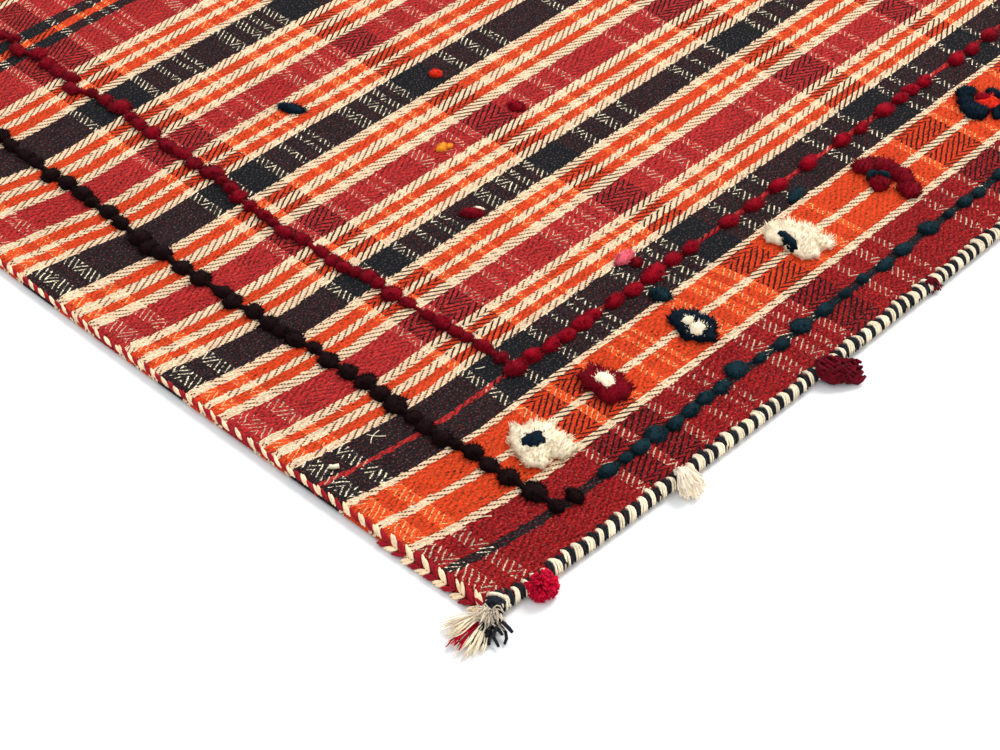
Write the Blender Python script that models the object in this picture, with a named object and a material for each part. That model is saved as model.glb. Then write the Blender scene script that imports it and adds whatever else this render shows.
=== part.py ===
"""Jajim rug: a flat-woven rug with bound edges, tuft rows, medallions and tassels.

The rug lies flat with its warp along X and its width along Y, its underside at z = 0 and its middle
at the origin. Every piece is placed in the cloth's own measure: `along` runs from the middle to the
two ends and `across` from the middle to the two sides, as the cloth was on the loom. A finished rug
draws in towards its corners, and `place` turns a loom position into the drawn-in one.
"""
import math
import random

import bmesh
import bpy
from mathutils import Vector

# Driving sizes, in metres.
LENGTH = 1.45
WIDTH = 1.035
CLOTH_THICKNESS = 0.003
GAP = 0.0003

SIDE_BINDING_WIDTH = 0.0112
SIDE_BINDING_HEIGHT = 0.0058
END_BINDING_WIDTH = 0.0085
END_BINDING_HEIGHT = 0.0052

# How far the corners are drawn in, and how quickly that fades along the sides.
SIDE_DRAW_IN = 0.018
SIDE_DRAW_FADE = 0.22
END_DRAW_IN = 0.0157
END_DRAW_POWER = 1.5

# The cloth's grid, and the unevenness of its upper face.
CLOTH_CELLS_ALONG = 26
CLOTH_CELLS_ACROSS = 18
CLOTH_UNEVEN = 0.0002

BINDING_STEPS = 44
SHARP_ANGLE = 50
NECK_WIDTH = 0.58
NECK_HEIGHT = 0.50
SEED = 7

# Tuft rows that run along the sides. inset is measured in from the side, start from the end.
SIDE_ROWS = (
    # name, inset, start, lump pitch at the ends, lump pitch mid-way, width, height, colour
    ("teal_tufts", 0.0372, 0.1240, 0.0172, 0.0240, 0.0105, 0.0062, "teal_wool"),
    ("crimson_side_tufts", 0.1355, 0.1600, 0.0140, 0.0235, 0.0120, 0.0072, "crimson_wool"),
)

# Tuft rows that run along the ends. inset is measured in from the end, start from the side.
END_ROWS = (
    # name, inset, start, lump pitch, width, height, colour
    ("brown_tufts", 0.0835, 0.0380, 0.0160, 0.0130, 0.0080, "brown_wool"),
    ("crimson_end_tufts", 0.1520, 0.1440, 0.0128, 0.0090, 0.0058, "crimson_wool"),
)

# Medallions on each side. along is measured from the left end, inset from the side.
MEDALLIONS = (
    # along, inset, length, breadth, colour
    (0.1156, 0.0815, 0.0360, 0.0400, "cream_wool"),
    (0.1805, 0.0875, 0.0240, 0.0365, "crimson_wool"),
    (0.2576, 0.0846, 0.0240, 0.0390, "navy_wool"),
    (0.3686, 0.0930, 0.0320, 0.0450, "cream_wool"),
    (0.4617, 0.0880, 0.0330, 0.0520, "crimson_wool"),
    (0.5770, 0.0930, 0.0400, 0.0400, "navy_wool"),
    (0.6800, 0.0830, 0.0360, 0.0390, "cream_wool"),
    (0.7930, 0.0870, 0.0240, 0.0360, "crimson_wool"),
    (0.9060, 0.0880, 0.0240, 0.0380, "navy_wool"),
    (1.0240, 0.0900, 0.0320, 0.0440, "cream_wool"),
    (1.1460, 0.0870, 0.0320, 0.0500, "crimson_wool"),
    (1.2690, 0.0900, 0.0380, 0.0390, "navy_wool"),
)
MEDALLION_SIDES = 10
MEDALLION_HEIGHT = 0.0078

# Lone tufts in the field, measured from the left end and in from the near side.
SCATTERED_TUFTS = (
    # along, inset, size, colour
    (0.2780, 0.1580, 0.0150, "pink_wool"),
    (0.2665, 0.1190, 0.0130, "teal_wool"),
    (0.4050, 0.1210, 0.0100, "teal_wool"),
    (0.2435, 0.2620, 0.0130, "crimson_wool"),
    (0.2800, 0.3260, 0.0110, "yellow_wool"),
    (0.3490, 0.3220, 0.0130, "crimson_wool"),
    (0.3370, 0.3900, 0.0110, "scarlet_wool"),
    (0.2390, 0.4320, 0.0170, "navy_wool"),
    (0.1020, 0.0340, 0.0120, "brown_wool"),
)
SCATTERED_SIDES = 8
SCATTERED_HEIGHT = 0.0060

# Tassels knotted on the side bindings. along is measured from the left end, and lean is how far the
# tassel turns from straight out towards the right end on the near side, the left end on the far side.
SIDE_TASSELS = (
    # side, along, lean, head width, head length, height, lock length, locks, spread, colour
    (-1, 0.0360, 0, 0.0130, 0.0050, 0.0070, 0.0080, 9, 120, "crimson_wool"),
    (-1, 0.1520, 10, 0.0110, 0.0050, 0.0065, 0.0110, 8, 90, "cream_wool"),
    (-1, 0.2760, 30, 0.0170, 0.0110, 0.0090, 0.0110, 6, 70, "maroon_wool"),
    (-1, 0.3920, 0, 0.0060, 0.0030, 0.0050, 0.0040, 4, 70, "maroon_wool"),
    (-1, 0.7600, 0, 0.0110, 0.0050, 0.0065, 0.0110, 8, 90, "cream_wool"),
    (-1, 1.1800, 0, 0.0120, 0.0050, 0.0070, 0.0080, 9, 110, "crimson_wool"),
    (1, 0.2700, 0, 0.0120, 0.0050, 0.0070, 0.0080, 9, 110, "crimson_wool"),
    (1, 0.6900, 0, 0.0110, 0.0050, 0.0065, 0.0110, 8, 90, "cream_wool"),
    (1, 1.1680, 35, 0.0170, 0.0110, 0.0090, 0.0110, 6, 70, "maroon_wool"),
)

# Corner tassels, whose heads turn a little way from the warp's direction.
CORNER_HEADING = 24
CORNER_CLEARANCE = 0.0052
CORNER_HEAD_WIDTH = 0.0130
CORNER_HEAD_LENGTH = 0.0120
CORNER_HEIGHT = 0.0090
CORNER_LOCK_LENGTH = 0.0190
CORNER_LOCKS = 9
CORNER_SPREAD = 80

LOCK_SHARE = 0.40
LOCK_HEIGHT = 0.0030

# The yarns: colour, roughness.
YARNS = {
    "cloth": ((0.42, 0.03, 0.04), 0.85),
    "black_and_cream_yarn": ((0.50, 0.44, 0.34), 0.80),
    "red_and_cream_yarn": ((0.55, 0.22, 0.16), 0.80),
    "brown_wool": ((0.020, 0.006, 0.006), 0.90),
    "teal_wool": ((0.010, 0.035, 0.045), 0.90),
    "navy_wool": ((0.008, 0.018, 0.040), 0.90),
    "crimson_wool": ((0.260, 0.005, 0.018), 0.90),
    "maroon_wool": ((0.120, 0.010, 0.022), 0.90),
    "cream_wool": ((0.800, 0.620, 0.400), 0.90),
    "pink_wool": ((0.720, 0.150, 0.200), 0.90),
    "yellow_wool": ((0.850, 0.330, 0.020), 0.90),
    "scarlet_wool": ((0.700, 0.060, 0.015), 0.90),
}


def clear_scene():
    for item in list(bpy.data.objects):
        bpy.data.objects.remove(item, do_unlink=True)


def yarn_material(name):
    material = bpy.data.materials.get(name)
    if material is None:
        colour, roughness = YARNS[name]
        material = bpy.data.materials.new(name)
        material.use_nodes = True
        shader = material.node_tree.nodes["Principled BSDF"]
        shader.inputs["Base Color"].default_value = (*colour, 1.0)
        shader.inputs["Roughness"].default_value = roughness
        shader.inputs["Metallic"].default_value = 0.0
    return material


def finish(name, mesh, yarn):
    """Turn a bmesh into the named object, with its faces pointing out."""
    bmesh.ops.recalc_face_normals(mesh, faces=mesh.faces)
    data = bpy.data.meshes.new(name)
    mesh.to_mesh(data)
    mesh.free()
    data.materials.append(yarn_material(yarn))
    data.shade_smooth()
    data.set_sharp_from_angle(angle=math.radians(SHARP_ANGLE))
    item = bpy.data.objects.new(name, data)
    bpy.context.scene.collection.objects.link(item)
    return item


def place(along, across):
    """Where a loom position lies on the finished rug, drawn in towards the corners."""
    from_end = LENGTH / 2 - abs(along)
    side_share = SIDE_DRAW_IN * math.exp(-from_end / SIDE_DRAW_FADE) / (WIDTH / 2)
    end_share = END_DRAW_IN * (abs(across) / (WIDTH / 2)) ** END_DRAW_POWER / (LENGTH / 2)
    return along * (1.0 - end_share), across * (1.0 - side_share)


def woven_cloth():
    """The woven sheet: a grid with the drawn-in outline, thickened down to a level underside."""
    half_length = LENGTH / 2 - END_BINDING_WIDTH - GAP
    half_width = WIDTH / 2 - SIDE_BINDING_WIDTH - GAP
    mesh = bmesh.new()
    bmesh.ops.create_grid(mesh, x_segments=CLOTH_CELLS_ALONG, y_segments=CLOTH_CELLS_ACROSS, size=1.0)
    top = list(mesh.faces)
    lower = bmesh.ops.extrude_face_region(mesh, geom=top)
    lower_verts = {item for item in lower["geom"] if isinstance(item, bmesh.types.BMVert)}
    for vert in mesh.verts:
        x, y = place(vert.co.x * half_length, vert.co.y * half_width)
        swell = math.sin(9.0 * x + 4.0 * y) * math.sin(11.0 * y - 3.0 * x)
        z = 0.0 if vert in lower_verts else CLOTH_THICKNESS + CLOTH_UNEVEN * swell
        vert.co = (x, y, z)
    return finish("woven_cloth", mesh, "cloth")


def sweep(stations, section):
    """A closed body swept through stations of (centre, sideways, width, height, floor).

    The section is a list of (share of half the width, share of the height) points.
    """
    mesh = bmesh.new()

    def ring(station):
        centre, sideways, width, height, floor = station
        return [
            Vector((centre[0], centre[1], floor + up * height)) + Vector((*sideways, 0.0)) * (out * width / 2)
            for out, up in section
        ]

    first = [mesh.verts.new(point) for point in ring(stations[0])]
    face = mesh.faces.new(first)
    for station in stations[1:]:
        grown = bmesh.ops.extrude_discrete_faces(mesh, faces=[face])
        face = grown["faces"][0]
        for vert, point in zip(face.verts, ring(station)):
            vert.co = point
    return mesh


def close_start(mesh):
    """Close the open start that discrete extrusion leaves, where there is one."""
    rims = [edge for edge in mesh.edges if edge.is_boundary]
    if rims:
        bmesh.ops.holes_fill(mesh, edges=rims, sides=0)


def side_binding(name, side):
    """One long edge's overcast binding: a low rounded bar, a little uneven, that follows the side."""
    dice = random.Random(SEED + side)
    section = ((-1.0, 0.12), (-0.72, 0.0), (0.72, 0.0), (1.0, 0.35), (0.62, 1.0), (-0.55, 0.95))
    reach = LENGTH / 2 - END_BINDING_WIDTH - GAP
    middle = WIDTH / 2 - SIDE_BINDING_WIDTH / 2
    stations = []
    for step in range(BINDING_STEPS + 1):
        along = -reach + 2 * reach * step / BINDING_STEPS
        centre = place(along, side * middle)
        height = SIDE_BINDING_HEIGHT * dice.uniform(0.94, 1.0)
        stations.append((centre, (0.0, side), SIDE_BINDING_WIDTH, height, 0.0))
    mesh = sweep(stations, section)
    close_start(mesh)
    return finish(name, mesh, "black_and_cream_yarn")


def end_binding(name, end):
    """One end's twined chain, from corner to corner."""
    dice = random.Random(SEED + 10 + end)
    section = ((-1.0, 0.10), (-0.70, 0.0), (0.70, 0.0), (1.0, 0.35), (0.60, 1.0), (-0.60, 0.92))
    reach = WIDTH / 2
    middle = LENGTH / 2 - END_BINDING_WIDTH / 2
    stations = []
    for step in range(BINDING_STEPS + 1):
        across = -reach + 2 * reach * step / BINDING_STEPS
        centre = place(end * middle, across)
        height = END_BINDING_HEIGHT * dice.uniform(0.94, 1.0)
        stations.append((centre, (end, 0.0), END_BINDING_WIDTH, height, 0.0))
    mesh = sweep(stations, section)
    close_start(mesh)
    return finish(name, mesh, "red_and_cream_yarn")


def lump_centres(start, stop, pitch_at_ends, pitch_midway, dice):
    """Positions of a row's lumps, closer together near the row's ends."""
    centres = []
    here = start
    while here < stop:
        centres.append(here)
        nearness = 1.0 - abs(2.0 * (here - start) / (stop - start) - 1.0)
        share = min(1.0, 2.0 * nearness)
        pitch = pitch_at_ends + (pitch_midway - pitch_at_ends) * share
        here += pitch * dice.uniform(0.88, 1.12)
    return centres


def tuft_row(name, route, sideways, centres, width, height, yarn, dice):
    """One row of tufts as a single body: full lumps with low, narrow necks between them."""
    section = ((-1.0, 0.0), (1.0, 0.0), (0.58, 1.0), (-0.58, 1.0))
    floor = CLOTH_THICKNESS + CLOTH_UNEVEN + GAP
    stations = []
    ends = [centres[0] - width * 0.45] + centres + [centres[-1] + width * 0.45]
    for before, here in zip(ends, ends[1:]):
        neck = before if before == ends[0] else (before + here) / 2
        stations.append((route(neck), sideways, width * NECK_WIDTH, height * NECK_HEIGHT, floor))
        if here != ends[-1]:
            full = dice.uniform(0.86, 1.06)
            stations.append((route(here), sideways, width * full, height * min(1.0, full), floor))
    stations.append((route(ends[-1]), sideways, width * NECK_WIDTH, height * NECK_HEIGHT, floor))
    mesh = sweep(stations, section)
    close_start(mesh)
    return finish(name, mesh, yarn)


def side_tuft_rows():
    for row, (name, inset, start, pitch, pitch_midway, width, height, yarn) in enumerate(SIDE_ROWS):
        for side, place_name in ((-1, "near"), (1, "far")):
            dice = random.Random(SEED + 100 * row + side)
            centres = lump_centres(start, LENGTH - start, pitch, pitch_midway, dice)
            across = side * (WIDTH / 2 - inset)

            def route(from_end, across=across):
                return place(from_end - LENGTH / 2, across)

            tuft_row(f"{name}_{place_name}", route, (0.0, 1.0), centres, width, height, yarn, dice)


def end_tuft_rows():
    for row, (name, inset, start, pitch, width, height, yarn) in enumerate(END_ROWS):
        for end, place_name in ((-1, "left"), (1, "right")):
            dice = random.Random(SEED + 300 + 100 * row + end)
            centres = lump_centres(start, WIDTH - start, pitch, pitch, dice)
            along = end * (LENGTH / 2 - inset)

            def route(from_side, along=along):
                return place(along, from_side - WIDTH / 2)

            tuft_row(f"{name}_{place_name}", route, (-1.0, 0.0), centres, width, height, yarn, dice)


def mound(name, centre, length, breadth, height, sides, levels, yarn):
    """A low tufted round on the cloth. levels are (share of the size, share of the height)."""
    floor = CLOTH_THICKNESS + CLOTH_UNEVEN + GAP
    mesh = bmesh.new()
    made = bmesh.ops.create_circle(mesh, cap_ends=True, segments=sides, radius=1.0)
    face = made["verts"][0].link_faces[0]
    rings = [[vert.co.copy() for vert in face.verts]]
    for vert in face.verts:
        vert.co = (vert.co.x * levels[0][0], vert.co.y * levels[0][0], 0.0)
    for share, up in levels[1:]:
        grown = bmesh.ops.extrude_discrete_faces(mesh, faces=[face])
        face = grown["faces"][0]
        for vert, unit in zip(face.verts, rings[0]):
            vert.co = (unit.x * share, unit.y * share, up)
    close_start(mesh)
    for vert in mesh.verts:
        x = centre[0] + vert.co.x * length / 2
        y = centre[1] + vert.co.y * breadth / 2
        vert.co = (x, y, floor + vert.co.z * height)
    return finish(name, mesh, yarn)


def medallions():
    levels = ((0.84, 0.0), (1.0, 0.45), (0.80, 1.0), (0.42, 0.80), (0.20, 0.95))
    for side, place_name in ((-1, "near"), (1, "far")):
        for number, (along, inset, length, breadth, yarn) in enumerate(MEDALLIONS, start=1):
            centre = place(along - LENGTH / 2, side * (WIDTH / 2 - inset))
            mound(f"medallion_{place_name}_{number:02d}", centre, length, breadth, MEDALLION_HEIGHT,
                  MEDALLION_SIDES, levels, yarn)


def scattered_tufts():
    levels = ((0.80, 0.0), (1.0, 0.45), (0.55, 1.0))
    for number, (along, inset, size, yarn) in enumerate(SCATTERED_TUFTS, start=1):
        centre = place(along - LENGTH / 2, inset - WIDTH / 2)
        mound(f"scattered_tuft_{number:02d}", centre, size * 1.15, size, SCATTERED_HEIGHT,
              SCATTERED_SIDES, levels, yarn)


def tassel(name, root, heading, head, lock_length, locks, spread, yarn):
    """A tassel lying on the floor: a knotted head whose rim is drawn out into separate locks.

    root is the middle of the head's straight back, heading its direction in degrees and head its
    (width, length, height). The locks keep a level underside at z = 0.
    """
    width, length, height = head
    forward = Vector((math.cos(math.radians(heading)), math.sin(math.radians(heading)), 0.0))
    left = Vector((-forward.y, forward.x, 0.0))
    base = Vector((*root, 0.0))

    rim = []
    for step in range(locks + 1):
        turn = math.radians(spread) * (0.5 - step / locks)
        rim.append(base + forward * (length * math.cos(turn)) + left * (width * 0.5 * math.sin(turn)
                   / math.sin(math.radians(spread) / 2)))
    outline = [base - left * (width * 0.40), base + left * (width * 0.40)] + rim

    mesh = bmesh.new()
    floor_face = mesh.faces.new([mesh.verts.new(point) for point in outline])
    grown = bmesh.ops.extrude_face_region(mesh, geom=[floor_face])
    for item in grown["geom"]:
        if isinstance(item, bmesh.types.BMVert):
            item.co.z = height if (item.co - base).length < length * 0.75 else height * 0.72

    for step in range(locks):
        middle = (rim[step] + rim[step + 1]) / 2
        face = min(
            (side for side in mesh.faces if len(side.verts) == 4),
            key=lambda side: (side.calc_center_median().xy - middle.xy).length,
        )
        turn = math.radians(spread) * (0.5 - (step + 0.5) / locks)
        outward = forward * math.cos(turn) + left * math.sin(turn)
        across = outward.cross(Vector((0.0, 0.0, 1.0)))
        reach = lock_length * (1.0 - 0.11 * ((step * 5) % 3))
        for share in (0.5, 1.0):
            grown = bmesh.ops.extrude_discrete_faces(mesh, faces=[face])
            face = grown["faces"][0]
            target = middle + outward * (reach * share)
            room = (rim[step] - rim[step + 1]).length + reach * share * math.radians(spread) / locks
            for vert in face.verts:
                side_sign = 1.0 if (vert.co - middle).dot(across) > 0.0 else -1.0
                rise = 0.0 if vert.co.z < GAP else LOCK_HEIGHT * (1.25 - 0.55 * share)
                vert.co = target + across * (side_sign * room * LOCK_SHARE) + Vector((0.0, 0.0, rise))
    return finish(name, mesh, yarn)


def side_tassels():
    count = {-1: 0, 1: 0}
    for side, along, lean, width, length, height, lock_length, locks, spread, yarn in SIDE_TASSELS:
        count[side] += 1
        edge = place(along - LENGTH / 2, side * WIDTH / 2)
        clear = 2 * GAP + width * 0.40 * math.sin(math.radians(lean))
        root = (edge[0], edge[1] + side * clear)
        name = f"side_tassel_{'near' if side < 0 else 'far'}_{count[side]}"
        tassel(name, root, 90.0 * side + lean, (width, length, height), lock_length, locks, spread, yarn)


def corner_tassels():
    corners = ((-1, -1), (1, -1), (1, 1), (-1, 1))
    turn = math.radians(CORNER_HEADING)
    for number, (end, side) in enumerate(corners, start=1):
        corner = place(end * LENGTH / 2, side * WIDTH / 2)
        ahead = (end * math.cos(turn), side * math.sin(turn))
        root = (corner[0] + CORNER_CLEARANCE * ahead[0], corner[1] + CORNER_CLEARANCE * ahead[1])
        tassel(f"corner_tassel_{number}", root, math.degrees(math.atan2(ahead[1], ahead[0])),
               (CORNER_HEAD_WIDTH, CORNER_HEAD_LENGTH, CORNER_HEIGHT),
               CORNER_LOCK_LENGTH, CORNER_LOCKS, CORNER_SPREAD, "navy_wool")


def main():
    clear_scene()
    woven_cloth()
    side_binding("side_binding_near", -1)
    side_binding("side_binding_far", 1)
    end_binding("end_binding_left", -1)
    end_binding("end_binding_right", 1)
    side_tuft_rows()
    end_tuft_rows()
    medallions()
    scattered_tufts()
    side_tassels()
    corner_tassels()


main()
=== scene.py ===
# %% [markdown]
# # Dressing a jajim rug
#
# A jajim is a flat-woven rug. Its warps are the long yarns that the loom holds tight, and they carry
# the coloured stripes. The wefts cross them and show only as small specks and slanting lines. This
# rug also has rows of tufts, woolly medallions, bound edges and tassels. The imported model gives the
# true size and place of every part, so each cell below makes one part's finer form and its finish.

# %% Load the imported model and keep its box
import math
import random

import bpy
import numpy as np
from mathutils import Matrix, Vector


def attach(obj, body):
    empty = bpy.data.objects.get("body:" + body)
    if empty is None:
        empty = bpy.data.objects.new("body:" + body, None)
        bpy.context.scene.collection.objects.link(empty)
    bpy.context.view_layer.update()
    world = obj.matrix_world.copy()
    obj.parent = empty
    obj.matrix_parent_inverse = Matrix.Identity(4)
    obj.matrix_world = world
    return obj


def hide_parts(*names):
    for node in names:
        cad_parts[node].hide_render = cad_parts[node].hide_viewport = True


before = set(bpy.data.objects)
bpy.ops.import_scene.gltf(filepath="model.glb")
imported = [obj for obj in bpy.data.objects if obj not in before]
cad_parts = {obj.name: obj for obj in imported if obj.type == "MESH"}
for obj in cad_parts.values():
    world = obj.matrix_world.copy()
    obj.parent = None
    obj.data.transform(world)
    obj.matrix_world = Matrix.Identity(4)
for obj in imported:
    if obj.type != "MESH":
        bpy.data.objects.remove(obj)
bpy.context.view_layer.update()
print("parts in the packed model:", len(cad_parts))

# %% [markdown]
# ## The loom's measure
#
# A weaver counts along the warp and across the cloth, so every part here is placed by `along`, from
# the middle to the two ends, and `across`, from the middle to the two sides. A finished rug draws in
# at its corners. `place` turns the loom's measure into the rug's own x and y, on arrays too, so the
# cloth and all that is sewn to it bend together.

# %% The rug's measure, and how it draws in
LENGTH = 1.45
WIDTH = 1.035
CLOTH_THICKNESS = 0.003
SIDE_BINDING_WIDTH = 0.0112
END_BINDING_WIDTH = 0.0085
SIDE_DRAW_IN = 0.018
SIDE_DRAW_FADE = 0.22
END_DRAW_IN = 0.0157
END_DRAW_POWER = 1.5
WAVE_HEIGHT = 0.0005
SEED = 7


def place(along, across):
    """Where a loom position lies on the finished rug."""
    from_end = LENGTH / 2 - np.abs(along)
    side_share = SIDE_DRAW_IN * np.exp(-from_end / SIDE_DRAW_FADE) / (WIDTH / 2)
    end_share = END_DRAW_IN * (np.abs(across) / (WIDTH / 2)) ** END_DRAW_POWER / (LENGTH / 2)
    return along * (1.0 - end_share), across * (1.0 - side_share)


def lift(x, y):
    """How far the rug rises off the floor in its soft, low waves."""
    wave = np.sin(9.0 * x + 4.0 * y) * np.sin(11.0 * y - 3.0 * x)
    return WAVE_HEIGHT * (1.0 + wave)


def top(x, y):
    """The height of the cloth's upper face."""
    return CLOTH_THICKNESS + lift(x, y)


print("the rug's corner lies at", [round(float(n), 4) for n in place(LENGTH / 2, WIDTH / 2)])

# %% [markdown]
# ## Camera
#
# A low camera would hide the tufts behind each other, and one straight above would show no height.
# This one stands off the near corner and looks down at about 45 degrees, with a long lens, so the
# stripes keep nearly parallel edges.

# %% Place the camera
CAMERA_PLACE = (-1.19165, -0.97338, 0.853)
CAMERA_TURN = 45.778
CAMERA_DOWN = 44.5476
CAMERA_LENS = 72.4


def linked(name, data):
    """A new object in the scene."""
    item = bpy.data.objects.new(name, data)
    bpy.context.scene.collection.objects.link(item)
    return item


lens = bpy.data.cameras.new("camera")
lens.lens = CAMERA_LENS
lens.sensor_width = 36.0
lens.clip_end = 50.0
camera = linked("camera", lens)
camera.location = CAMERA_PLACE
camera.rotation_euler = (math.radians(90.0 - CAMERA_DOWN), 0.0, math.radians(-CAMERA_TURN))
bpy.context.scene.camera = camera
print("camera looks down", CAMERA_DOWN, "degrees")

# %% [markdown]
# ## Wiring materials
#
# A material is a small circuit of nodes. A `Wire` is the value on one of its sockets. Wires can be
# added, multiplied and so on like numbers, and each sum puts a Math node in the circuit, so a formula
# here reads as a formula. A few more helpers stand for the other nodes the rug needs.

# %% Helpers that wire nodes
class Wire:
    """A value on its way through a material."""

    def __init__(self, socket):
        self.socket = socket
        self.tree = socket.id_data


def plug(node, plugs):
    """Give a node's inputs a value or a wire each."""
    for name, value in plugs.items():
        if isinstance(value, Wire):
            value.tree.links.new(value.socket, node.inputs[name])
        else:
            node.inputs[name].default_value = value
    return node


def add(tree, kind, plugs=None, **settings):
    """Add a node, set its options, and give its inputs a value or a wire each."""
    node = tree.nodes.new(kind)
    for name, value in settings.items():
        setattr(node, name, value)
    return plug(node, plugs or {})


def wire(kind, plugs, output=0, **settings):
    """Add a node beside the wires that are plugged into it, and take one of its outputs."""
    tree = next(value.tree for value in plugs.values() if isinstance(value, Wire))
    return Wire(add(tree, kind, plugs, **settings).outputs[output])


def calc(operation, *values):
    """One sum of numbers and wires: a Math node."""
    return wire("ShaderNodeMath", dict(enumerate(values)), operation=operation)


for sign, operation in (("add", "ADD"), ("sub", "SUBTRACT"), ("mul", "MULTIPLY"), ("truediv", "DIVIDE"),
                        ("mod", "FLOORED_MODULO"), ("pow", "POWER")):
    setattr(Wire, f"__{sign}__", lambda self, other, how=operation: calc(how, self, other))
    setattr(Wire, f"__r{sign}__", lambda self, other, how=operation: calc(how, other, self))


def least(first, second):
    """The lesser of two."""
    return calc("MINIMUM", first, second)


def most(first, second):
    """The greater of two."""
    return calc("MAXIMUM", first, second)


def floor_of(value):
    """The whole number below."""
    return calc("FLOOR", value)


def split(value, kind="Color"):
    """The three parts of a colour, or of a place."""
    return [Wire(part) for part in add(value.tree, f"ShaderNodeSeparate{kind}", {0: value}).outputs]


def noise(spot, scale, detail, output=0, **more):
    """Soft patches with so many to the metre."""
    return wire("ShaderNodeTexNoise", {"Vector": spot, "Scale": scale, "Detail": detail, **more}, output)


def dice_for(number):
    """A chance value that stays the same for the same number."""
    return wire("ShaderNodeTexWhiteNoise", {"W": number}, noise_dimensions="1D")


def dice_at(first, second, third=0.0):
    """A chance value for each cell of a plan."""
    cell = wire("ShaderNodeCombineXYZ", {0: first, 1: second, 2: third})
    return wire("ShaderNodeTexWhiteNoise", {"Vector": cell}, noise_dimensions="3D")


def remap(value, start, stop, first=0.0, last=1.0, **settings):
    """A value carried from the range start..stop to the range first..last, and held there."""
    plugs = {"Value": value, "From Min": start, "From Max": stop, "To Min": first, "To Max": last}
    return wire("ShaderNodeMapRange", plugs, **settings)


def between(share, first, second):
    """A mix of two numbers by a share from 0 to 1."""
    return wire("ShaderNodeMix", {0: share, 2: first, 3: second}, data_type="FLOAT")


def blend(share, first, second, mode="MIX"):
    """A mix of two colours by a share from 0 to 1."""
    return wire("ShaderNodeMix", {0: share, 6: first, 7: second}, 2, data_type="RGBA", blend_type=mode)


def shaded(colour, shade):
    """A colour multiplied by a shade, or by another colour."""
    return blend(1.0, colour, shade, "MULTIPLY")


def step_ramp(position, stops):
    """A colour ramp with hard edges. stops are (start, colour), with starts from 0 to 1."""
    node = add(position.tree, "ShaderNodeValToRGB", {0: position})
    ramp = node.color_ramp
    ramp.interpolation = "CONSTANT"
    for number, (start, colour) in enumerate(stops):
        stop = ramp.elements[number] if number < 2 else ramp.elements.new(start)
        stop.position = start
        stop.color = colour
    return Wire(node.outputs[0])


def node_group(name, inputs, wiring):
    """A node group. wiring takes its inputs and gives back its outputs, both by name."""
    tree = bpy.data.node_groups.new(name, "ShaderNodeTree")

    def new_socket(socket, way, is_colour):
        kind = "NodeSocketColor" if is_colour else "NodeSocketFloat"
        return tree.interface.new_socket(socket, in_out=way, socket_type=kind)

    for socket, value in inputs.items():
        new_socket(socket, "INPUT", isinstance(value, tuple)).default_value = value
    given = add(tree, "NodeGroupInput").outputs
    gives = wiring({socket: Wire(given[socket]) for socket in inputs})
    for socket, value in gives.items():
        new_socket(socket, "OUTPUT", value.socket.type == "RGBA")
    add(tree, "NodeGroupOutput", gives)
    return tree


def bump(height, strength, distance):
    """A surface that stands up by a height."""
    return wire("ShaderNodeBump", {"Height": height, "Strength": strength, "Distance": distance})


def use_group(tree, group, plugs):
    """The outputs of a group that is put to use in a tree."""
    node = add(tree, "ShaderNodeGroup", plugs, node_tree=group)
    return {output.name: Wire(output) for output in node.outputs}


def new_material(name):
    """A material, its tree and its shader."""
    material = bpy.data.materials.new(name)
    material.use_nodes = True
    return material, material.node_tree, material.node_tree.nodes["Principled BSDF"]


def dye(red, green, blue):
    """A yarn's colour as a dyer's card gives it, from 0 to 255, turned to linear light."""
    card = [value / 255 for value in (red, green, blue)]
    linear = [value / 12.92 if value <= 0.04045 else ((value + 0.055) / 1.055) ** 2.4 for value in card]
    return (*linear, 1.0)


# The dyer's card: every yarn of the cloth. The charts below use the letter before the name.
DYES = {
    "d dark red": dye(155, 27, 31),
    "r crimson": dye(184, 46, 48),
    "o orange": dye(246, 86, 37),
    "c cream": dye(253, 219, 183),
    "k black": dye(37, 34, 36),
    "m maroon": dye(100, 12, 20),
    "i ivory": dye(255, 238, 206),
    "g green black": dye(11, 15, 19),
}
GREEN_BLACK = DYES["g green black"]
COLD_BLACK = dye(25, 32, 36)
RED_ORANGE = dye(212, 38, 28)
# Pale pink and golden specks painted on the yarns as highlights. The golden one also tints a pale weft on
# orange.
PINK_HIGHLIGHT = dye(226, 168, 160)
GOLDEN_TINT_AND_HIGHLIGHT = dye(250, 190, 92)
print("yarns on the dyer's card:", len(DYES))

# %% [markdown]
# ## The stripes
#
# The warps were wound in stripes, and the weaver changed the weft yarn from time to time, which is
# why dark and pale bands cross the rug. Both are written as charts, the way a weaver writes a warping
# plan: a yarn and the width it takes. The stripes run over the whole width in four charts, and the
# weft is the same from either end.

# %% Charts of the warp and the weft
def chart(text):
    """A chart as (colour, width in metres). Each word is a yarn's letter and its width in millimetres."""
    letters = {name[0]: colour for name, colour in DYES.items()}
    return [(letters[word[0]], float(word[1:]) / 1000) for word in text.split()]


# The stripes, counted from the near side.
WARP_CHARTS = [chart(text) for text in (
    # the near border
    """d34.5 k6.5 d19 c6 o20 c5.5 o20.3 c4.5 k18.7 r3.5 k19
       c5.5 o8 c6 o7 c6.3 r27.3 c7.2 o7.7 c5.8 o8 c6.5 k24.7""",
    # the field
    """c6.8 o7.2 c7.7 o6.8 c7 r26 c8.2 o7.8 c7.5 o8.7 c7 k29.8
       c6.8 o8.2 c5 o9 c7.5 r27.5 c6.5 o9 c7.5 o9 c7 k31.5""",
    # the centre
    """c6 o9 c6.8 o8 c8.2 r36 k9.5 o8 k11 r36 c6.8 o9 c7.4 o9 c7.2
       k32 c6.8 o9 c7.4 o9 c7.2 r30 c6.8 o9 c7.4 o9 c7.2""",
    # the far border
    "k21 r3.9 k20.5 c5 o22.3 c6 o22 c6.6 d21 k7.2 d45",
)]
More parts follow.
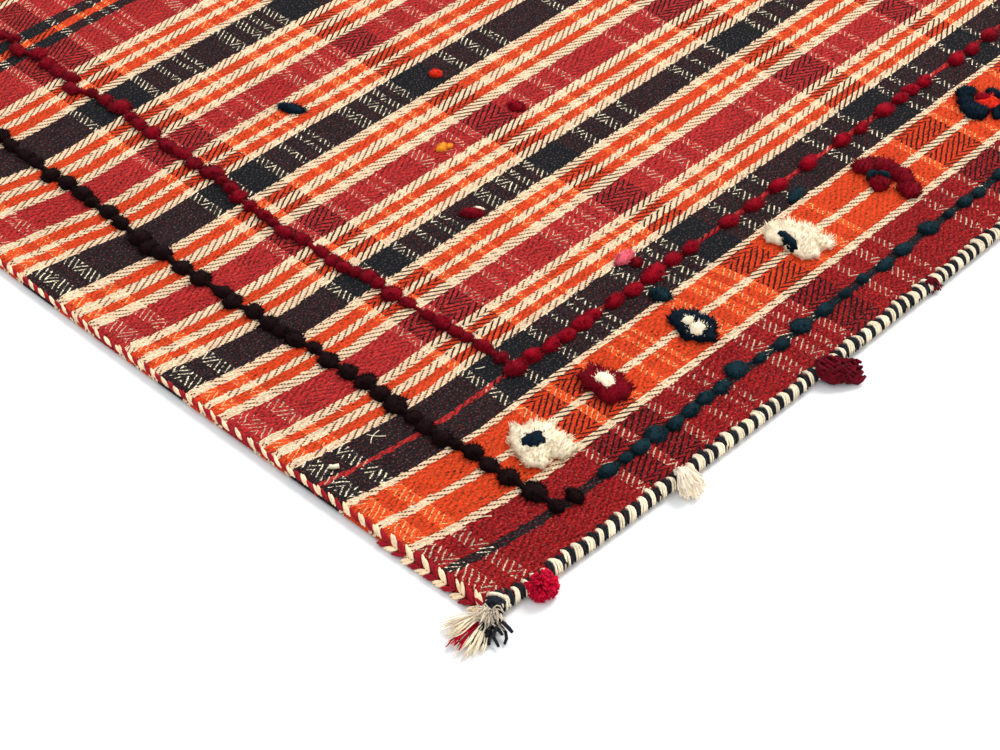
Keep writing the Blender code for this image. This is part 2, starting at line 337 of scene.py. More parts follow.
# The wefts, counted from the nearest end.
WEFT_CHARTS = [chart(text) for text in (
    """m6 i12 m11 i9 m89 i7 g19 i7 g22 i7 m13 i5.5 m10 i4.5 m3.5 i4.5 m28
       i9 m10 i9 m4 i5 m7 i7.5 g30.5 m14""",
    """i7 m15 i8 m12 i6 m52 i7.5 m12.5 i5 m14 i6.5 g39.5 i6 m10 i5 m15 i7 m29
       i6 g25 i6 m34 i6 m48""",
)]


def chart_width(stripes):
    """The width of a whole chart in metres."""
    return sum(width for _, width in stripes)


def chart_colour(stripes, position):
    """Read a chart at a position."""
    whole = chart_width(stripes)
    starts = [chart_width(stripes[:number]) / whole for number in range(len(stripes))]
    return step_ramp(position / whole, [(start, colour) for start, (colour, _) in zip(starts, stripes)])


def charts_in_turn(charts, position):
    """Read several charts laid one after the other."""
    colour = chart_colour(charts[0], position)
    start = 0.0
    for before, stripes in zip(charts, charts[1:]):
        start += chart_width(before)
        onward = position - start
        colour = blend(calc("GREATER_THAN", onward, 0.0), colour, chart_colour(stripes, onward))
    return colour


print("stripes cover", round(sum(map(chart_width, WARP_CHARTS)), 4), "of the width", WIDTH)
print("wefts cover", round(sum(map(chart_width, WEFT_CHARTS)), 4), "of half the length", LENGTH / 2)

# %% [markdown]
# ## The weave
#
# Each weft passes over one warp and under three, and the next warp does the same one pick further on,
# so the specks line up in slanting rows: a twill. Every centimetre or two the slant turns back, which
# gives the herringbone. Between two specks a warp floats over three picks, and the floats lie over a
# little towards the slant, like the strands of a rope, so a stripe's edge comes out scalloped. The
# group below works this out from the loom's measure. It numbers the warps and the picks, finds which
# of the two lies on top, and gives the height of the yarn for the bump.

# %% The herringbone's plan
WARP_PITCH = 0.0010
PICK_PITCH = 0.00168
TWILL_PICKS = 4.0

# Where the slant turns, counted from the near side in pairs of warps. The slant rises in the first
# band, falls in the second, and so on. A turn on a whole pair keeps the rows of specks unbroken.
BORDER_TURNS = (7, 9, 18, 23, 29, 35, 42, 47, 54, 59, 64, 67, 75, 77, 88, 93, 99, 104, 108, 115, 121, 126,
                133, 137)
FIELD_TURNS = (10, 14, 22, 26, 32, 38, 48, 52, 59, 62)


def slant_chart(turns, position):
    """1 where the slant rises and -1 where it falls, at a position in pairs of warps."""
    whole = float(turns[-1])
    levels = [1.0 - number % 2 for number in range(len(turns))]
    stops = [(start / whole, (level, level, level, 1.0)) for start, level in zip((0, *turns[:-1]), levels)]
    return step_ramp(position / whole, stops) * 2.0 - 1.0


print("turns of the slant in the border:", len(BORDER_TURNS), "and in the field:", len(FIELD_TURNS))

# %% The twill, as a node group
# How far a float lies over towards the slant, and how far a speck does in pale and in dark weft.
FLOAT_LEAN = 0.45
FINE_LEAN = 0.1
BOLD_LEAN = 0.75
# How much of a speck's two sides is cut away in pale and in dark weft.
FINE_NARROWING = 0.38
BOLD_NARROWING = 0.06
# The width of a speck, in picks, and what a dark and a bright weft add to it.
FINE_WEFT = 0.50
BOLD_GAIN = 0.11
PALE_GAIN = 0.07
SPECK_EDGE = 0.07
# How dark the painted shade is in the hollows beside a warp and beside a speck, and on a speck itself.
SIDE_SHADOW = 0.85
END_SHADOW = 0.65
SPECK_SHADOW = 0.10
# How high a warp lies where it comes up beside a speck, and the speck itself, against a float's top.
WARP_LOW = 0.35
SPECK_HIGH = 0.45


def twill(given):
    """Which yarn lies on top at a place on the cloth, how high it lies and how much painted shade it gets
    there.
    """
    weft_width = given["Weft width"]
    warps = given["Across"] / WARP_PITCH
    picks = given["Along"] / PICK_PITCH
    first_guess = floor_of(warps)
    pairs = (first_guess + 0.5) * 0.5
    inner = pairs - BORDER_TURNS[-1]
    border_slant = slant_chart(BORDER_TURNS, pairs)
    field_slant = slant_chart(FIELD_TURNS, inner % FIELD_TURNS[-1])
    slant = between(calc("GREATER_THAN", inner, 0.0), border_slant, field_slant)
    turn = (picks - first_guess * slant) % TWILL_PICKS
    lean = (turn - TWILL_PICKS / 2) * (FLOAT_LEAN / TWILL_PICKS)
    warps = warps - lean * slant
    warp = floor_of(warps)
    aside = warps - warp - 0.5
    boldness = (weft_width - FINE_WEFT) * (1 / BOLD_GAIN)
    speck_lean = aside * between(boldness, FINE_LEAN, BOLD_LEAN)
    shown = picks - (warp + speck_lean) * slant
    turn = shown % TWILL_PICKS
    near = calc("ABSOLUTE", turn - 0.5)
    away = least(near, TWILL_PICKS - near)
    square = aside * aside * 4.0
    pick = floor_of(picks)
    speck_dice = dice_at(warp, pick)
    uneven = speck_dice ** 2.0 * given["Unevenness"]
    edge = weft_width - square * between(boldness, FINE_NARROWING, BOLD_NARROWING) - uneven
    on_top = remap(away, edge - SPECK_EDGE, edge + SPECK_EDGE, 1.0, 0.0, interpolation_type="SMOOTHSTEP")
    round_warp = calc("SQRT", most(1.0 - square, 0.0))
    warp_height = round_warp * (WARP_LOW + least(away * 0.7, 1.0) * (1.0 - WARP_LOW))
    weft_height = (1.0 - away * 1.6) * SPECK_HIGH
    side_dark = square ** 1.5 * SIDE_SHADOW
    end_dark = most(1.0 - away, 0.0) * END_SHADOW
    return {
        "Warp place": (warp + 0.5) * WARP_PITCH, "Weft on top": on_top,
        "Height": between(on_top, warp_height, weft_height), "Warp number": warp, "Pick number": pick,
        "Shadow": between(on_top, most(side_dark, end_dark), SPECK_SHADOW),
        "Float dice": dice_at(warp, floor_of(shown / TWILL_PICKS), 7.0), "Speck dice": speck_dice,
    }


TWILL = node_group("twill", {"Along": 0.0, "Across": 0.0, "Weft width": 0.42, "Unevenness": 0.24}, twill)
print("twill group sockets:", len(TWILL.interface.items_tree))

# %% [markdown]
# ## The cloth's material
#
# The material reads the loom's measure from the cloth's UV map, and lets a slow noise push it about a
# little, because hand-beaten picks never lie quite straight. The charts give each warp and each pick
# its yarn, and the twill group says which one shows. A dark weft is packed loosely and shows in bold
# strokes, while a pale one shows as small beads. Between two yarns the colour deepens, as wool does
# in its own shadow, rather than turning grey.

# %% The cloth's material
# How far the picks and the warps wander, in metres, and the single yarns with them.
PICK_SWAY = 0.004
WARP_SWAY = 0.002
YARN_SHAKE = 0.0011
END_SHAKE = 2.6
END_REACH = 0.05
STRIPE_RAGGED = 0.0026
# A weft with less red than this counts as dark, by so much.
PALE_REDNESS = 0.14
# How much paler or darker a yarn gets along its fibres, in patches, and from one float to the next.
FIBRE_SHADES = 3.2
PATCH_SHADES = 0.35
FLOAT_SHADES = 0.45
# How strongly each change of colour shows where two yarns lie over each other, and how strongly the painted
# highlight specks show.
HIDDEN_SHARE = 0.80
REDDER_SHARE = 0.62
GILT_SHARE = 0.65
COLD_SHARE = 0.85
HIGHLIGHT_SHARE = 0.30
# How much of the bump the fibres make, how strong it is and how high in metres.
FIBRE_HEIGHT = 0.35
BUMP_STRENGTH = 0.9
BUMP_HEIGHT = 0.0009


def about(value, spread):
    """Noise about its middle, so wide."""
    return (value - 0.5) * spread


def laid_yarns(loom):
    """The loom's measure, pushed about as the yarns are. Near the ends they lie more loosely."""
    along, across, _ = split(loom, "XYZ")
    slow = split(noise(loom, 14.0, 2.0, output=1))
    quick = split(noise(loom, 160.0, 1.0, output=1))
    wild = remap(least(along, LENGTH - along), 0.0, END_REACH, END_SHAKE, 1.0) * YARN_SHAKE
    return (along + about(slow[0], PICK_SWAY) + about(quick[0], wild),
            across + about(slow[1], WARP_SWAY) + about(quick[1], wild))


def cloth_material():
    """The whole weave as a material."""
    material, tree, shader = new_material("jajim_weave")
    loom = Wire(add(tree, "ShaderNodeUVMap", uv_map="loom").outputs[0])
    along, across = laid_yarns(loom)
    weft = charts_in_turn(WEFT_CHARTS, least(along, LENGTH - along))
    redness = split(weft)[0]
    darkness = remap(redness, 0.0, PALE_REDNESS, 1.0, 0.0)
    weft_width = FINE_WEFT + redness * PALE_GAIN + darkness * BOLD_GAIN
    weave = use_group(tree, TWILL, {"Along": along, "Across": across, "Weft width": weft_width,
                                    "Unevenness": 0.11 + redness * 0.50})
    warp = charts_in_turn(WARP_CHARTS, weave["Warp place"] + about(noise(loom, 210.0, 1.0), STRIPE_RAGGED))

    # Every yarn is a little paler or darker, in patches, along its fibres and from float to float.
    fuzz = noise(loom, 620.0, 3.0)
    uneven = (about(fuzz, FIBRE_SHADES) + about(noise(loom, 34.0, 2.0), PATCH_SHADES)
              + (about(weave["Float dice"], FLOAT_SHADES) + about(weave["Speck dice"], FLOAT_SHADES)))
    plainness = split(warp)[2]
    warp_shade = uneven * (1.0 - plainness * 1.25) + (0.94 + dice_for(weave["Warp number"]) * 0.18)
    warp_shade = warp_shade - darkness * (0.24 - plainness * 0.47)
    warp = shaded(warp, warp_shade)
    weft = shaded(weft, uneven + (0.86 + dice_for(weave["Pick number"]) * 0.26))

    # A weft takes on some of the warp's colour: partly the bright wool lying over it, partly a painted
    # reflection from the bright warps beside it.
    warmth, _, blueness = split(warp)
    cover_and_reflection = most(0.50 - blueness, 0.0) * least(warmth * 2.5, 1.0) * (1.0 - darkness)
    weft = blend(cover_and_reflection, weft, warp)
    # Some specks in the black stripes are hidden by it.
    black_warp = most(1.0 - warmth * 8.0, 0.0)
    hidden = remap(weave["Speck dice"], 0.10, 0.45, 0.0, HIDDEN_SHARE) * most(1.0 - redness, 0.0)
    weft = blend(hidden * black_warp, weft, warp)
    # Orange is redder under a dark weft, and golden with a pale one.
    golden = least(warmth * warmth, 1.0)
    only_orange = most(golden - plainness * 2.0, 0.0)
    warp = blend((1.0 - redness) * (only_orange * REDDER_SHARE), warp, RED_ORANGE)
    weft = blend(only_orange * (redness * GILT_SHARE), weft, GOLDEN_TINT_AND_HIGHLIGHT)
    # Black under a dark weft is colder, and a dark weft in a pale stripe is sunk in shadow.
    cold = black_warp * darkness * COLD_SHARE
    warp = blend(cold, warp, COLD_BLACK)
    weft = blend(cold, weft, COLD_BLACK)
    weft = blend(least((1.0 - redness) * (blueness * 1.6), 1.0), weft, GREEN_BLACK)

    # The yarn that lies on top, painted deeper in colour where it lies in shadow, with pale specks painted on
    # as highlights.
    colour = blend(weave["Weft on top"], warp, weft)
    painted_shade = shaded(shaded(colour, colour), 1.0 - weave["Shadow"])
    colour = blend(weave["Shadow"], colour, painted_shade)
    highlight_specks = remap(noise(loom, 760.0, 2.0), 0.58, 0.76, 0.0, HIGHLIGHT_SHARE)
    colour = blend(highlight_specks, colour, blend(golden, PINK_HIGHLIGHT, GOLDEN_TINT_AND_HIGHLIGHT))
    normal = bump(weave["Height"] + fuzz * FIBRE_HEIGHT, BUMP_STRENGTH, BUMP_HEIGHT)
    plug(shader, {"Base Color": colour, "Normal": normal, "Roughness": 0.78 + fuzz * 0.2,
                  "Specular IOR Level": 0.06})
    return material


CLOTH = cloth_material()
print("cloth material nodes:", len(CLOTH.node_tree.nodes))

# %% [markdown]
# ## The cloth and its turned end
#
# The cloth is one sheet on a regular grid. It follows the drawn-in edges and the low waves of a rug
# on a hard floor. At both ends the weaver turned a little of it under, so the end is a soft round
# edge that the stripes run over. The grid is closer there, and each line of it keeps its distance
# along the yarn as a UV map, so that the weave bends with the rug and isn't stretched. A Solidify
# modifier then gives the sheet its thickness.

# %% The turned end's profile
ROLL_RADIUS = 0.0055
ROLL_HEIGHT = 0.0054
ROLL_LOW = 0.0010
ROLL_STEPS = 7
EASE_STEPS = 5
ROLL_REACH = 0.026


def rolled_end():
    """Lines across the rug near an end: distance in from the end, height, and loom distance."""
    lines = []
    for step in range(ROLL_STEPS + 1):
        turn = math.pi / 2 * step / ROLL_STEPS
        height = ROLL_LOW + (ROLL_HEIGHT - ROLL_LOW) * math.sin(turn)
        lines.append((ROLL_RADIUS * (1.0 - math.cos(turn)), height))
    for step in range(1, EASE_STEPS + 1):
        share = step / EASE_STEPS
        ease = share * share * (3.0 - 2.0 * share)
        lines.append((ROLL_RADIUS + (ROLL_REACH - ROLL_RADIUS) * share,
                      ROLL_HEIGHT + (CLOTH_THICKNESS - ROLL_HEIGHT) * ease))
    yarn = [0.0]
    for before, here in zip(lines, lines[1:]):
        yarn.append(yarn[-1] + math.dist(before, here))
    spare = yarn[-1] - ROLL_REACH
    return [(inward, height, length - spare) for (inward, height), length in zip(lines, yarn)]


END_LINES = rolled_end()
print("yarn taken up by the turned end:", round(-END_LINES[0][2] * 1000, 1), "mm")

# %% [markdown]
# ## How the loom's straight lines end up on the floor
#
# Off the loom the cloth draws in where the ends are rolled and the side edges pull, so no line of it
# stays quite straight. The weave is still planned on the loom's straight measure, and one function
# moves that measure to the floor. It could be done with a lattice, but a function also serves the tufts
# and the edges, so all of them follow the cloth.

# %% How the plan is pulled about on the finished cloth
# The stitching at an end pulls the stripes aside, and the rows of wool draw them back. Each entry is
# the distance from the end and how far the stripes have moved there, both in millimetres.
END_PULL = ((0, 4.5), (18, 4.7), (30, 3.2), (45, 1.6), (70, -0.8), (100, -2.2), (140, -0.3), (170, 0.0))
PULL_FADE = 0.04
# Near the ends the far part of the width is pulled a little further, from FAR_START on.
FAR_PULL = 0.0045
FAR_START = 0.385
FAR_EASE = 0.012
FAR_END = 0.06
FAR_END_EASE = 0.008
# The picks bow towards the middle beside each long edge, a third of a metre from the ends.
BOW = 0.011
BOW_MIDDLE = 0.33
BOW_LENGTH = 0.09
BOW_DEPTH = 0.11
BOW_EASE = 0.02


def on_the_plan(along, across):
    """The plan's place under a place on the cloth, both counted from the left end and the near side."""
    from_end = np.minimum(along, LENGTH - along)
    from_side = np.minimum(across, WIDTH - across)
    distances, pulls = np.array(END_PULL).T / 1000
    pull = np.interp(from_end, distances, pulls)
    far = 1.0 / (1.0 + np.exp(-(across - FAR_START) / FAR_EASE))
    far = far / (1.0 + np.exp((from_end - FAR_END) / FAR_END_EASE))
    pull = (pull + FAR_PULL * far) * np.clip(from_side / PULL_FADE, 0.0, 1.0)
    bow = BOW * np.exp(-((from_end - BOW_MIDDLE) / BOW_LENGTH) ** 2)
    bow = bow / (1.0 + np.exp((from_side - BOW_DEPTH) / BOW_EASE))
    return along - np.where(along < LENGTH / 2, bow, -bow), across - pull


print("stripes at the end are pulled aside by", END_PULL[1][1], "mm, and the picks bow by", BOW * 1000, "mm")

# %% [markdown]
# ## The sheet itself
#
# A jajim is one thin sheet of wool. The mesh is a grid that follows the yarns, with the two ends turned
# over as small rolls, and its UV map keeps the loom's own measure in metres. The yarns are far too many
# to model one by one, so the material draws them from that map.

# %% Weave the cloth
CELL = 0.0062
TUCK = 0.0030


def woven_cloth():
    half_width = WIDTH / 2 - TUCK
    middle = LENGTH / 2 - ROLL_REACH
    lines = [(inward - LENGTH / 2, height, yarn) for inward, height, yarn in END_LINES]
    inner = np.linspace(-middle, middle, round(2 * middle / CELL) + 1)[1:-1]
    lines += [(along, CLOTH_THICKNESS, along + LENGTH / 2) for along in inner]
    lines += [(LENGTH / 2 - inward, height, LENGTH - yarn) for inward, height, yarn in reversed(END_LINES)]
    along, height, yarn = np.array(lines).T
    across = np.linspace(-half_width, half_width, round(2 * half_width / CELL) + 1)
    along, across = np.meshgrid(along, across, indexing="ij")
    x, y = place(along, across)
    points = np.stack([x, y, height[:, None] + lift(x, y)], -1).reshape(-1, 3)
    number = np.arange(points.shape[0]).reshape(x.shape)
    faces = np.stack([number[:-1, :-1], number[1:, :-1], number[1:, 1:], number[:-1, 1:]], -1).reshape(-1, 4)
    mesh = bpy.data.meshes.new("cloth_sheet")
    mesh.from_pydata(points.tolist(), [], faces.tolist())
    loom = mesh.uv_layers.new(name="loom")
    plan = on_the_plan(np.broadcast_to(yarn[:, None], x.shape), across + WIDTH / 2)
    spots = np.stack(plan, -1).reshape(-1, 2)
    loom.uv.foreach_set("vector", spots[faces.reshape(-1)].astype(np.float32).reshape(-1))
    sheet = linked("cloth_sheet", mesh)
    bpy.ops.object.select_all(action="DESELECT")
    sheet.select_set(True)
    bpy.context.view_layer.objects.active = sheet
    solid = sheet.modifiers.new("thickness", "SOLIDIFY")
    solid.thickness = CLOTH_THICKNESS
    solid.offset = -1.0
    bpy.ops.object.modifier_apply(modifier=solid.name)
    bpy.ops.object.shade_smooth_by_angle(angle=math.radians(60))
    sheet.data.materials.append(CLOTH)
    return sheet


cloth = woven_cloth()
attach(cloth, "root")
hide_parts("woven_cloth")
print("cloth faces:", len(cloth.data.polygons))

# %% [markdown]
# ## Wool
#
# Yarn and tufts are all wool, so their finishes share one node group. It varies the colour in soft
# patches and from strand to strand, paints shade between the fibres and lifts a fine nap for the
# bump. `tone` is a value from 0 to 1 that each strand or lump carries in its mesh. It varies at random,
# and on lumps and strands it also carries painted shade.

# %% The wool group and its materials
def wool_fibres(given):
    """A wool's colour in patches and strands, with painted shade between the fibres, and a nap for the bump.
    """
    spot = Wire(add(given["Tone"].tree, "ShaderNodeTexCoord").outputs["Object"])
    patches = noise(spot, 160.0, 2.0)
    fibres = noise(spot, 900.0, 4.0, Roughness=0.7)
    mixed = patches * 0.5 + fibres * 0.5
    spread = (mixed - 0.5) + (given["Tone"] - 0.5) * 0.55
    toned = shaded(given["Colour"], 1.0 + spread * (given["Variation"] * 4.0))
    # Between the fibres the colour is painted darker, as wool looks in its own shade: painted shade.
    painted_shade = given["Depth"] * (1.0 - remap(fibres, 0.35, 0.60))
    return {"Colour": blend(painted_shade, toned, shaded(toned, toned)), "Height": fibres,
            "Roughness": 0.75 + patches * 0.25}


WOOL = node_group("wool fibres", {"Colour": (0.5, 0.5, 0.5, 1.0), "Tone": 0.5, "Variation": 0.35,
                                  "Depth": 0.65}, wool_fibres)


def wool(name, colour, variation=0.35, sheen=0.10, depth=0.65):
    """A wool finish in one dye: how uneven it is, its sheen, and how much painted shade it gets between the
    fibres.
    """
    material, tree, shader = new_material(name)
    tone = Wire(add(tree, "ShaderNodeAttribute", attribute_name="tone").outputs["Fac"])
    fibres = use_group(tree, WOOL, {"Colour": colour, "Variation": variation, "Depth": depth, "Tone": tone})
    tint = tuple(0.5 + 0.5 * part for part in colour[:3]) + (1.0,)
    plug(shader, {"Base Color": fibres["Colour"], "Roughness": fibres["Roughness"],
                  "Normal": bump(fibres["Height"], 0.6, 0.0008), "Specular IOR Level": 0.08,
                  "Sheen Weight": sheen, "Sheen Roughness": 0.4, "Sheen Tint": tint})
    return material


# A finish's depth is how much painted shade it gets between the fibres.
FINISHES = {
    "binding_cream": ((250, 236, 208), {"depth": 0.35}),
    "binding_black": ((38, 40, 46), {"variation": 0.45}),
    "chain_cream": ((255, 226, 188), {"depth": 0.35}),
    "chain_red": ((170, 30, 46), {}),
    "brown_wool": ((29, 9, 11), {"variation": 0.55, "sheen": 0.0}),
    "teal_wool": ((20, 46, 54), {"variation": 0.55, "sheen": 0.02}),
    "navy_wool": ((10, 30, 44), {"variation": 0.55, "sheen": 0.02}),
    "crimson_wool": ((146, 0, 26), {"variation": 0.5, "sheen": 0.02}),
    "dark_crimson_wool": ((126, 2, 24), {"variation": 0.5, "sheen": 0.03}),
    "bright_crimson_wool": ((196, 12, 54), {"variation": 0.55, "sheen": 0.05}),
    "maroon_wool": ((112, 10, 30), {"variation": 0.5, "sheen": 0.08}),
    "cream_wool": ((255, 240, 212), {"variation": 0.24, "depth": 0.34}),
    "tassel_cream": ((255, 240, 216), {"variation": 0.26, "depth": 0.14}),
    "collar_wool": ((222, 208, 188), {"variation": 0.5}),
    "pink_wool": ((240, 112, 128), {}),
    "yellow_wool": ((250, 160, 46), {}),
    "scarlet_wool": ((224, 52, 26), {}),
}
FINISH = {name: wool(name, dye(*card), **looks) for name, (card, looks) in FINISHES.items()}
print("wool finishes:", len(FINISH))

# %% [markdown]
# ## Small things in great numbers
#
# A binding has hundreds of wraps, and a tuft has dozens of loose fibres. One object for each would
# choke the scene. So a small shape is modelled once, and its corners are read into an array. Every
# copy is that array moved by its own matrix, and all the copies become one mesh. A point attribute,
# `tone`, tells the wool finish how pale each copy is.


# %% Helpers for shapes and their copies
def rows(text):
    """The rows of a table written out in words, apart by commas or lines. Numbers come back as floats."""
    def read(word):
        return word if word[0].isalpha() else float(word)

    return [[read(word) for word in row.split()] for row in text.replace("\n", ",").split(",") if row.strip()]


def shape_of(item):
    """The corners, faces and tones of a small object, which is then removed."""
    points = np.array([vert.co for vert in item.data.vertices])
    faces = [tuple(face.vertices) for face in item.data.polygons]
    bpy.data.objects.remove(item)
    return points, faces, np.zeros(len(points))


def joined(shapes):
    """Several shapes as one."""
    points, own_faces, tones = zip(*shapes)
    corners = 0
    faces = []
    for own_points, some_faces in zip(points, own_faces):
        faces.extend(tuple(corner + corners for corner in face) for face in some_faces)
        corners += len(own_points)
    return np.concatenate(points), faces, np.concatenate(tones)


def moved(shape, matrix, tone=0.0):
    """One copy of a shape, put in its place by a 3 by 4 matrix."""
    points, faces, tones = shape
    return points @ matrix[:, :3].T + matrix[:, 3], faces, tones + tone


def turn_about(axis, degrees):
    """A 3 by 3 turn about x, y or z."""
    return np.array(Matrix.Rotation(math.radians(degrees), 3, axis))


def settle(along, across, height, heading=0.0, turns=(), size=(1.0, 1.0, 1.0), slant=0.0):
    """The matrix that sets a shape down on the rug.

    The shape's own x points along the warp, or turns from it by heading, and its z points up.
    turns are (axis, degrees) in the shape's own axes, and slant moves it along x as y grows.
    """
    step = 0.001
    here = np.array(place(along, across))
    ahead = np.array(place(along + step, across)) - here
    aside = np.array(place(along, across + step)) - here
    toward = math.cos(math.radians(heading)) * ahead + math.sin(math.radians(heading)) * aside
    toward /= np.linalg.norm(toward)
    basis = np.array([[toward[0], -toward[1], 0.0], [toward[1], toward[0], 0.0], [0.0, 0.0, 1.0]])
    for axis, degrees in turns:
        basis = basis @ turn_about(axis, degrees)
    lean = np.eye(3)
    lean[0, 1] = slant
    basis = basis @ lean @ np.diag(size)
    return np.column_stack([basis, [here[0], here[1], height + top(*here)]])


def strand(path, radii, sides=4):
    """A closed strand of yarn along a path, as thick as radii say at each point."""
    path = np.asarray(path, float)
    radii = np.broadcast_to(radii, len(path))
    ahead = np.gradient(path, axis=0)
    ahead /= np.linalg.norm(ahead, axis=1, keepdims=True) + 1e-12
    up = np.array([0.0, 0.0, 1.0]) if abs(ahead[:, 2]).max() < 0.9 else np.array([0.36, 0.93, 0.05])
    left = np.cross(up, ahead)
    left /= np.linalg.norm(left, axis=1, keepdims=True) + 1e-12
    over = np.cross(ahead, left)
    turns = 2 * math.pi * np.arange(sides) / sides
    around = np.cos(turns)[None, :, None] * left[:, None] + np.sin(turns)[None, :, None] * over[:, None]
    rings = path[:, None] + radii[:, None, None] * around
    faces = [tuple(range(sides))[::-1]]
    for ring in range(len(path) - 1):
        for side in range(sides):
            after = (side + 1) % sides
            faces.append((ring * sides + side, ring * sides + after,
                          (ring + 1) * sides + after, (ring + 1) * sides + side))
    last = (len(path) - 1) * sides
    faces.append(tuple(last + side for side in range(sides)))
    return rings.reshape(-1, 3), faces, np.zeros(sides * len(path))


def go(spot, bearing, out, side):
    """The x and y that lie so far out from a spot at a bearing, and so far to the left of it."""
    return (spot[0] + out * math.cos(bearing) - side * math.sin(bearing),
            spot[1] + out * math.sin(bearing) + side * math.cos(bearing))


class Basket:
    """Gathers shapes with their finish, and turns them into one piece."""

    def __init__(self):
        self.shapes = []
        self.finishes = []

    def add(self, shape, finish):
        self.shapes.append(shape)
        self.finishes.extend([finish] * len(shape[1]))

    def add_strand(self, path, radii, sides, finish, tone=0.0, root_shade=(0.0,)):
        """Add a strand. Its last argument says how much paler it gets from point to point of its path:
        painted shade, darker towards the root.
        """
        points, faces, tones = strand(path, radii, sides)
        tones = tones + np.repeat(np.broadcast_to(root_shade, len(path)), sides)
        self.add((points, faces, tones + tone), finish)

    def piece(self, name, nodes, slot):
        """The finished piece, riding on the rug in place of the CAD nodes."""
        points, faces, tones = joined(self.shapes)
        mesh = bpy.data.meshes.new(name)
        mesh.from_pydata(points.tolist(), [], faces)
        names = sorted(set(self.finishes))
        for finish in names:
            mesh.materials.append(FINISH[finish])
        mesh.polygons.foreach_set("material_index", [names.index(finish) for finish in self.finishes])
        tone = mesh.attributes.new("tone", "FLOAT", "POINT")
        tone.data.foreach_set("value", np.clip(tones + 0.5, 0.0, 1.0).astype(np.float32))
        mesh.shade_smooth()
        item = linked(name, mesh)
        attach(item, "root")
        if nodes:
            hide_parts(*nodes)
        print(f"{name}: {sum(len(face) - 2 for face in faces)} triangles")


def start_shape(primitive, **settings):
    """Start a shape from a primitive, with all of it selected for editing."""
    if bpy.context.mode != "OBJECT":
        bpy.ops.object.mode_set(mode="OBJECT")
    bpy.ops.object.select_all(action="DESELECT")
    primitive(**settings)
    bpy.ops.object.transform_apply(location=True, rotation=True)
    bpy.ops.object.mode_set(mode="EDIT")
    bpy.ops.mesh.select_all(action="SELECT")
    return bpy.context.object


def end_shape():
    """Turn a closed shape's faces outwards, and leave editing."""
    bpy.ops.mesh.select_all(action="SELECT")
    bpy.ops.mesh.normals_make_consistent(inside=False)
    bpy.ops.object.mode_set(mode="OBJECT")


def cut_flat(height):
    """Cut off what lies below a height, and close the cut."""
    bpy.ops.mesh.bisect(plane_co=(0.0, 0.0, height), plane_no=(0.0, 0.0, 1.0), use_fill=True,
                        clear_inner=True)


def yarn_bit(radius, sides, steps):
    """A bit of yarn, pulled out of a small disc.

    Each step is how far the end face goes along x and z, and how much wider it gets.
    """
    bit = start_shape(bpy.ops.mesh.primitive_circle_add, vertices=sides, radius=radius, fill_type="NGON",
                      rotation=(0.0, math.pi / 2, 0.0))
    end = Vector((0.0, 0.0, 0.0))
    for along, up, wider in steps:
        move = Vector((along, 0.0, up))
        end += move
        bpy.ops.mesh.extrude_region_move(TRANSFORM_OT_translate={"value": move})
        bpy.ops.transform.resize(value=(wider, wider, wider), center_override=end)
    end_shape()
    return bit

# %% [markdown]
# ## The side binding
#
# The long edges are overcast. The needle goes round and round the edge with cream yarn, then with
# black, so the edge looks like a row of slanting wraps. One wrap is a ring of yarn: a small circle
# is spun about the edge and pressed to the edge's section, thin where it dives into the cloth and
# full where it turns over the edge. Bundles of two or three wraps in one yarn follow each other, and
# no two bundles lie quite alike.

# %% Model one wrap
STRAND = 0.00092
WRAP_HEIGHT = 0.0064
WRAP_STEPS = 11
WRAP_THIN = 0.60
WRAP_FULL = 1.20
WRAP_BOW = 0.0019


def one_wrap():
    """A closed ring of yarn round an edge that runs along x, with y outwards."""
    middle = (0.0, 0.0, 0.0)
    wrap = start_shape(bpy.ops.mesh.primitive_circle_add, vertices=5, radius=STRAND,
                       location=(0.0, WRAP_HEIGHT / 2 - STRAND, 0.0))
    bpy.ops.mesh.spin(steps=WRAP_STEPS, angle=2 * math.pi, center=middle, axis=(1.0, 0.0, 0.0))
    bpy.ops.mesh.select_all(action="SELECT")
    bpy.ops.mesh.remove_doubles(threshold=0.00001)
    bpy.ops.transform.resize(value=(1.0, SIDE_BINDING_WIDTH / WRAP_HEIGHT, 1.0), center_override=middle)
    end_shape()
    for vert in wrap.data.vertices:
        outward = vert.co.y / (SIDE_BINDING_WIDTH / 2)
        vert.co.x *= WRAP_THIN + (WRAP_FULL - WRAP_THIN) * (outward + 1.0) / 2.0
        vert.co.x += WRAP_BOW * outward * outward
    return wrap


wrap = one_wrap()
print("one wrap:", len(wrap.data.polygons), "faces,", [round(n * 1000, 1) for n in wrap.dimensions], "mm")
WRAP = shape_of(wrap)

# %% [markdown]
# ## Overcasting the long edges
#
# The sewer worked along each edge in bundles: a few turns of black, a few of cream, never quite the same
# number and never quite at the same slant. The one wrap above is copied for every turn, and a table of
# chances decides how many turns each bundle gets, how far they reach in and how they lean.

# %% Overcast both long edges
BUNDLES = (
    # yarn, its wraps (least, most), the space between wraps
    ("binding_cream", 2, 3, 0.00156),
    ("binding_black", 2, 2, 0.00150),
)
BUNDLE_GAP = 0.0004
WRAP_SLANT = 0.32
WRAP_FAN = 0.16
BINDING_STOP = LENGTH / 2 - END_BINDING_WIDTH * 0.7


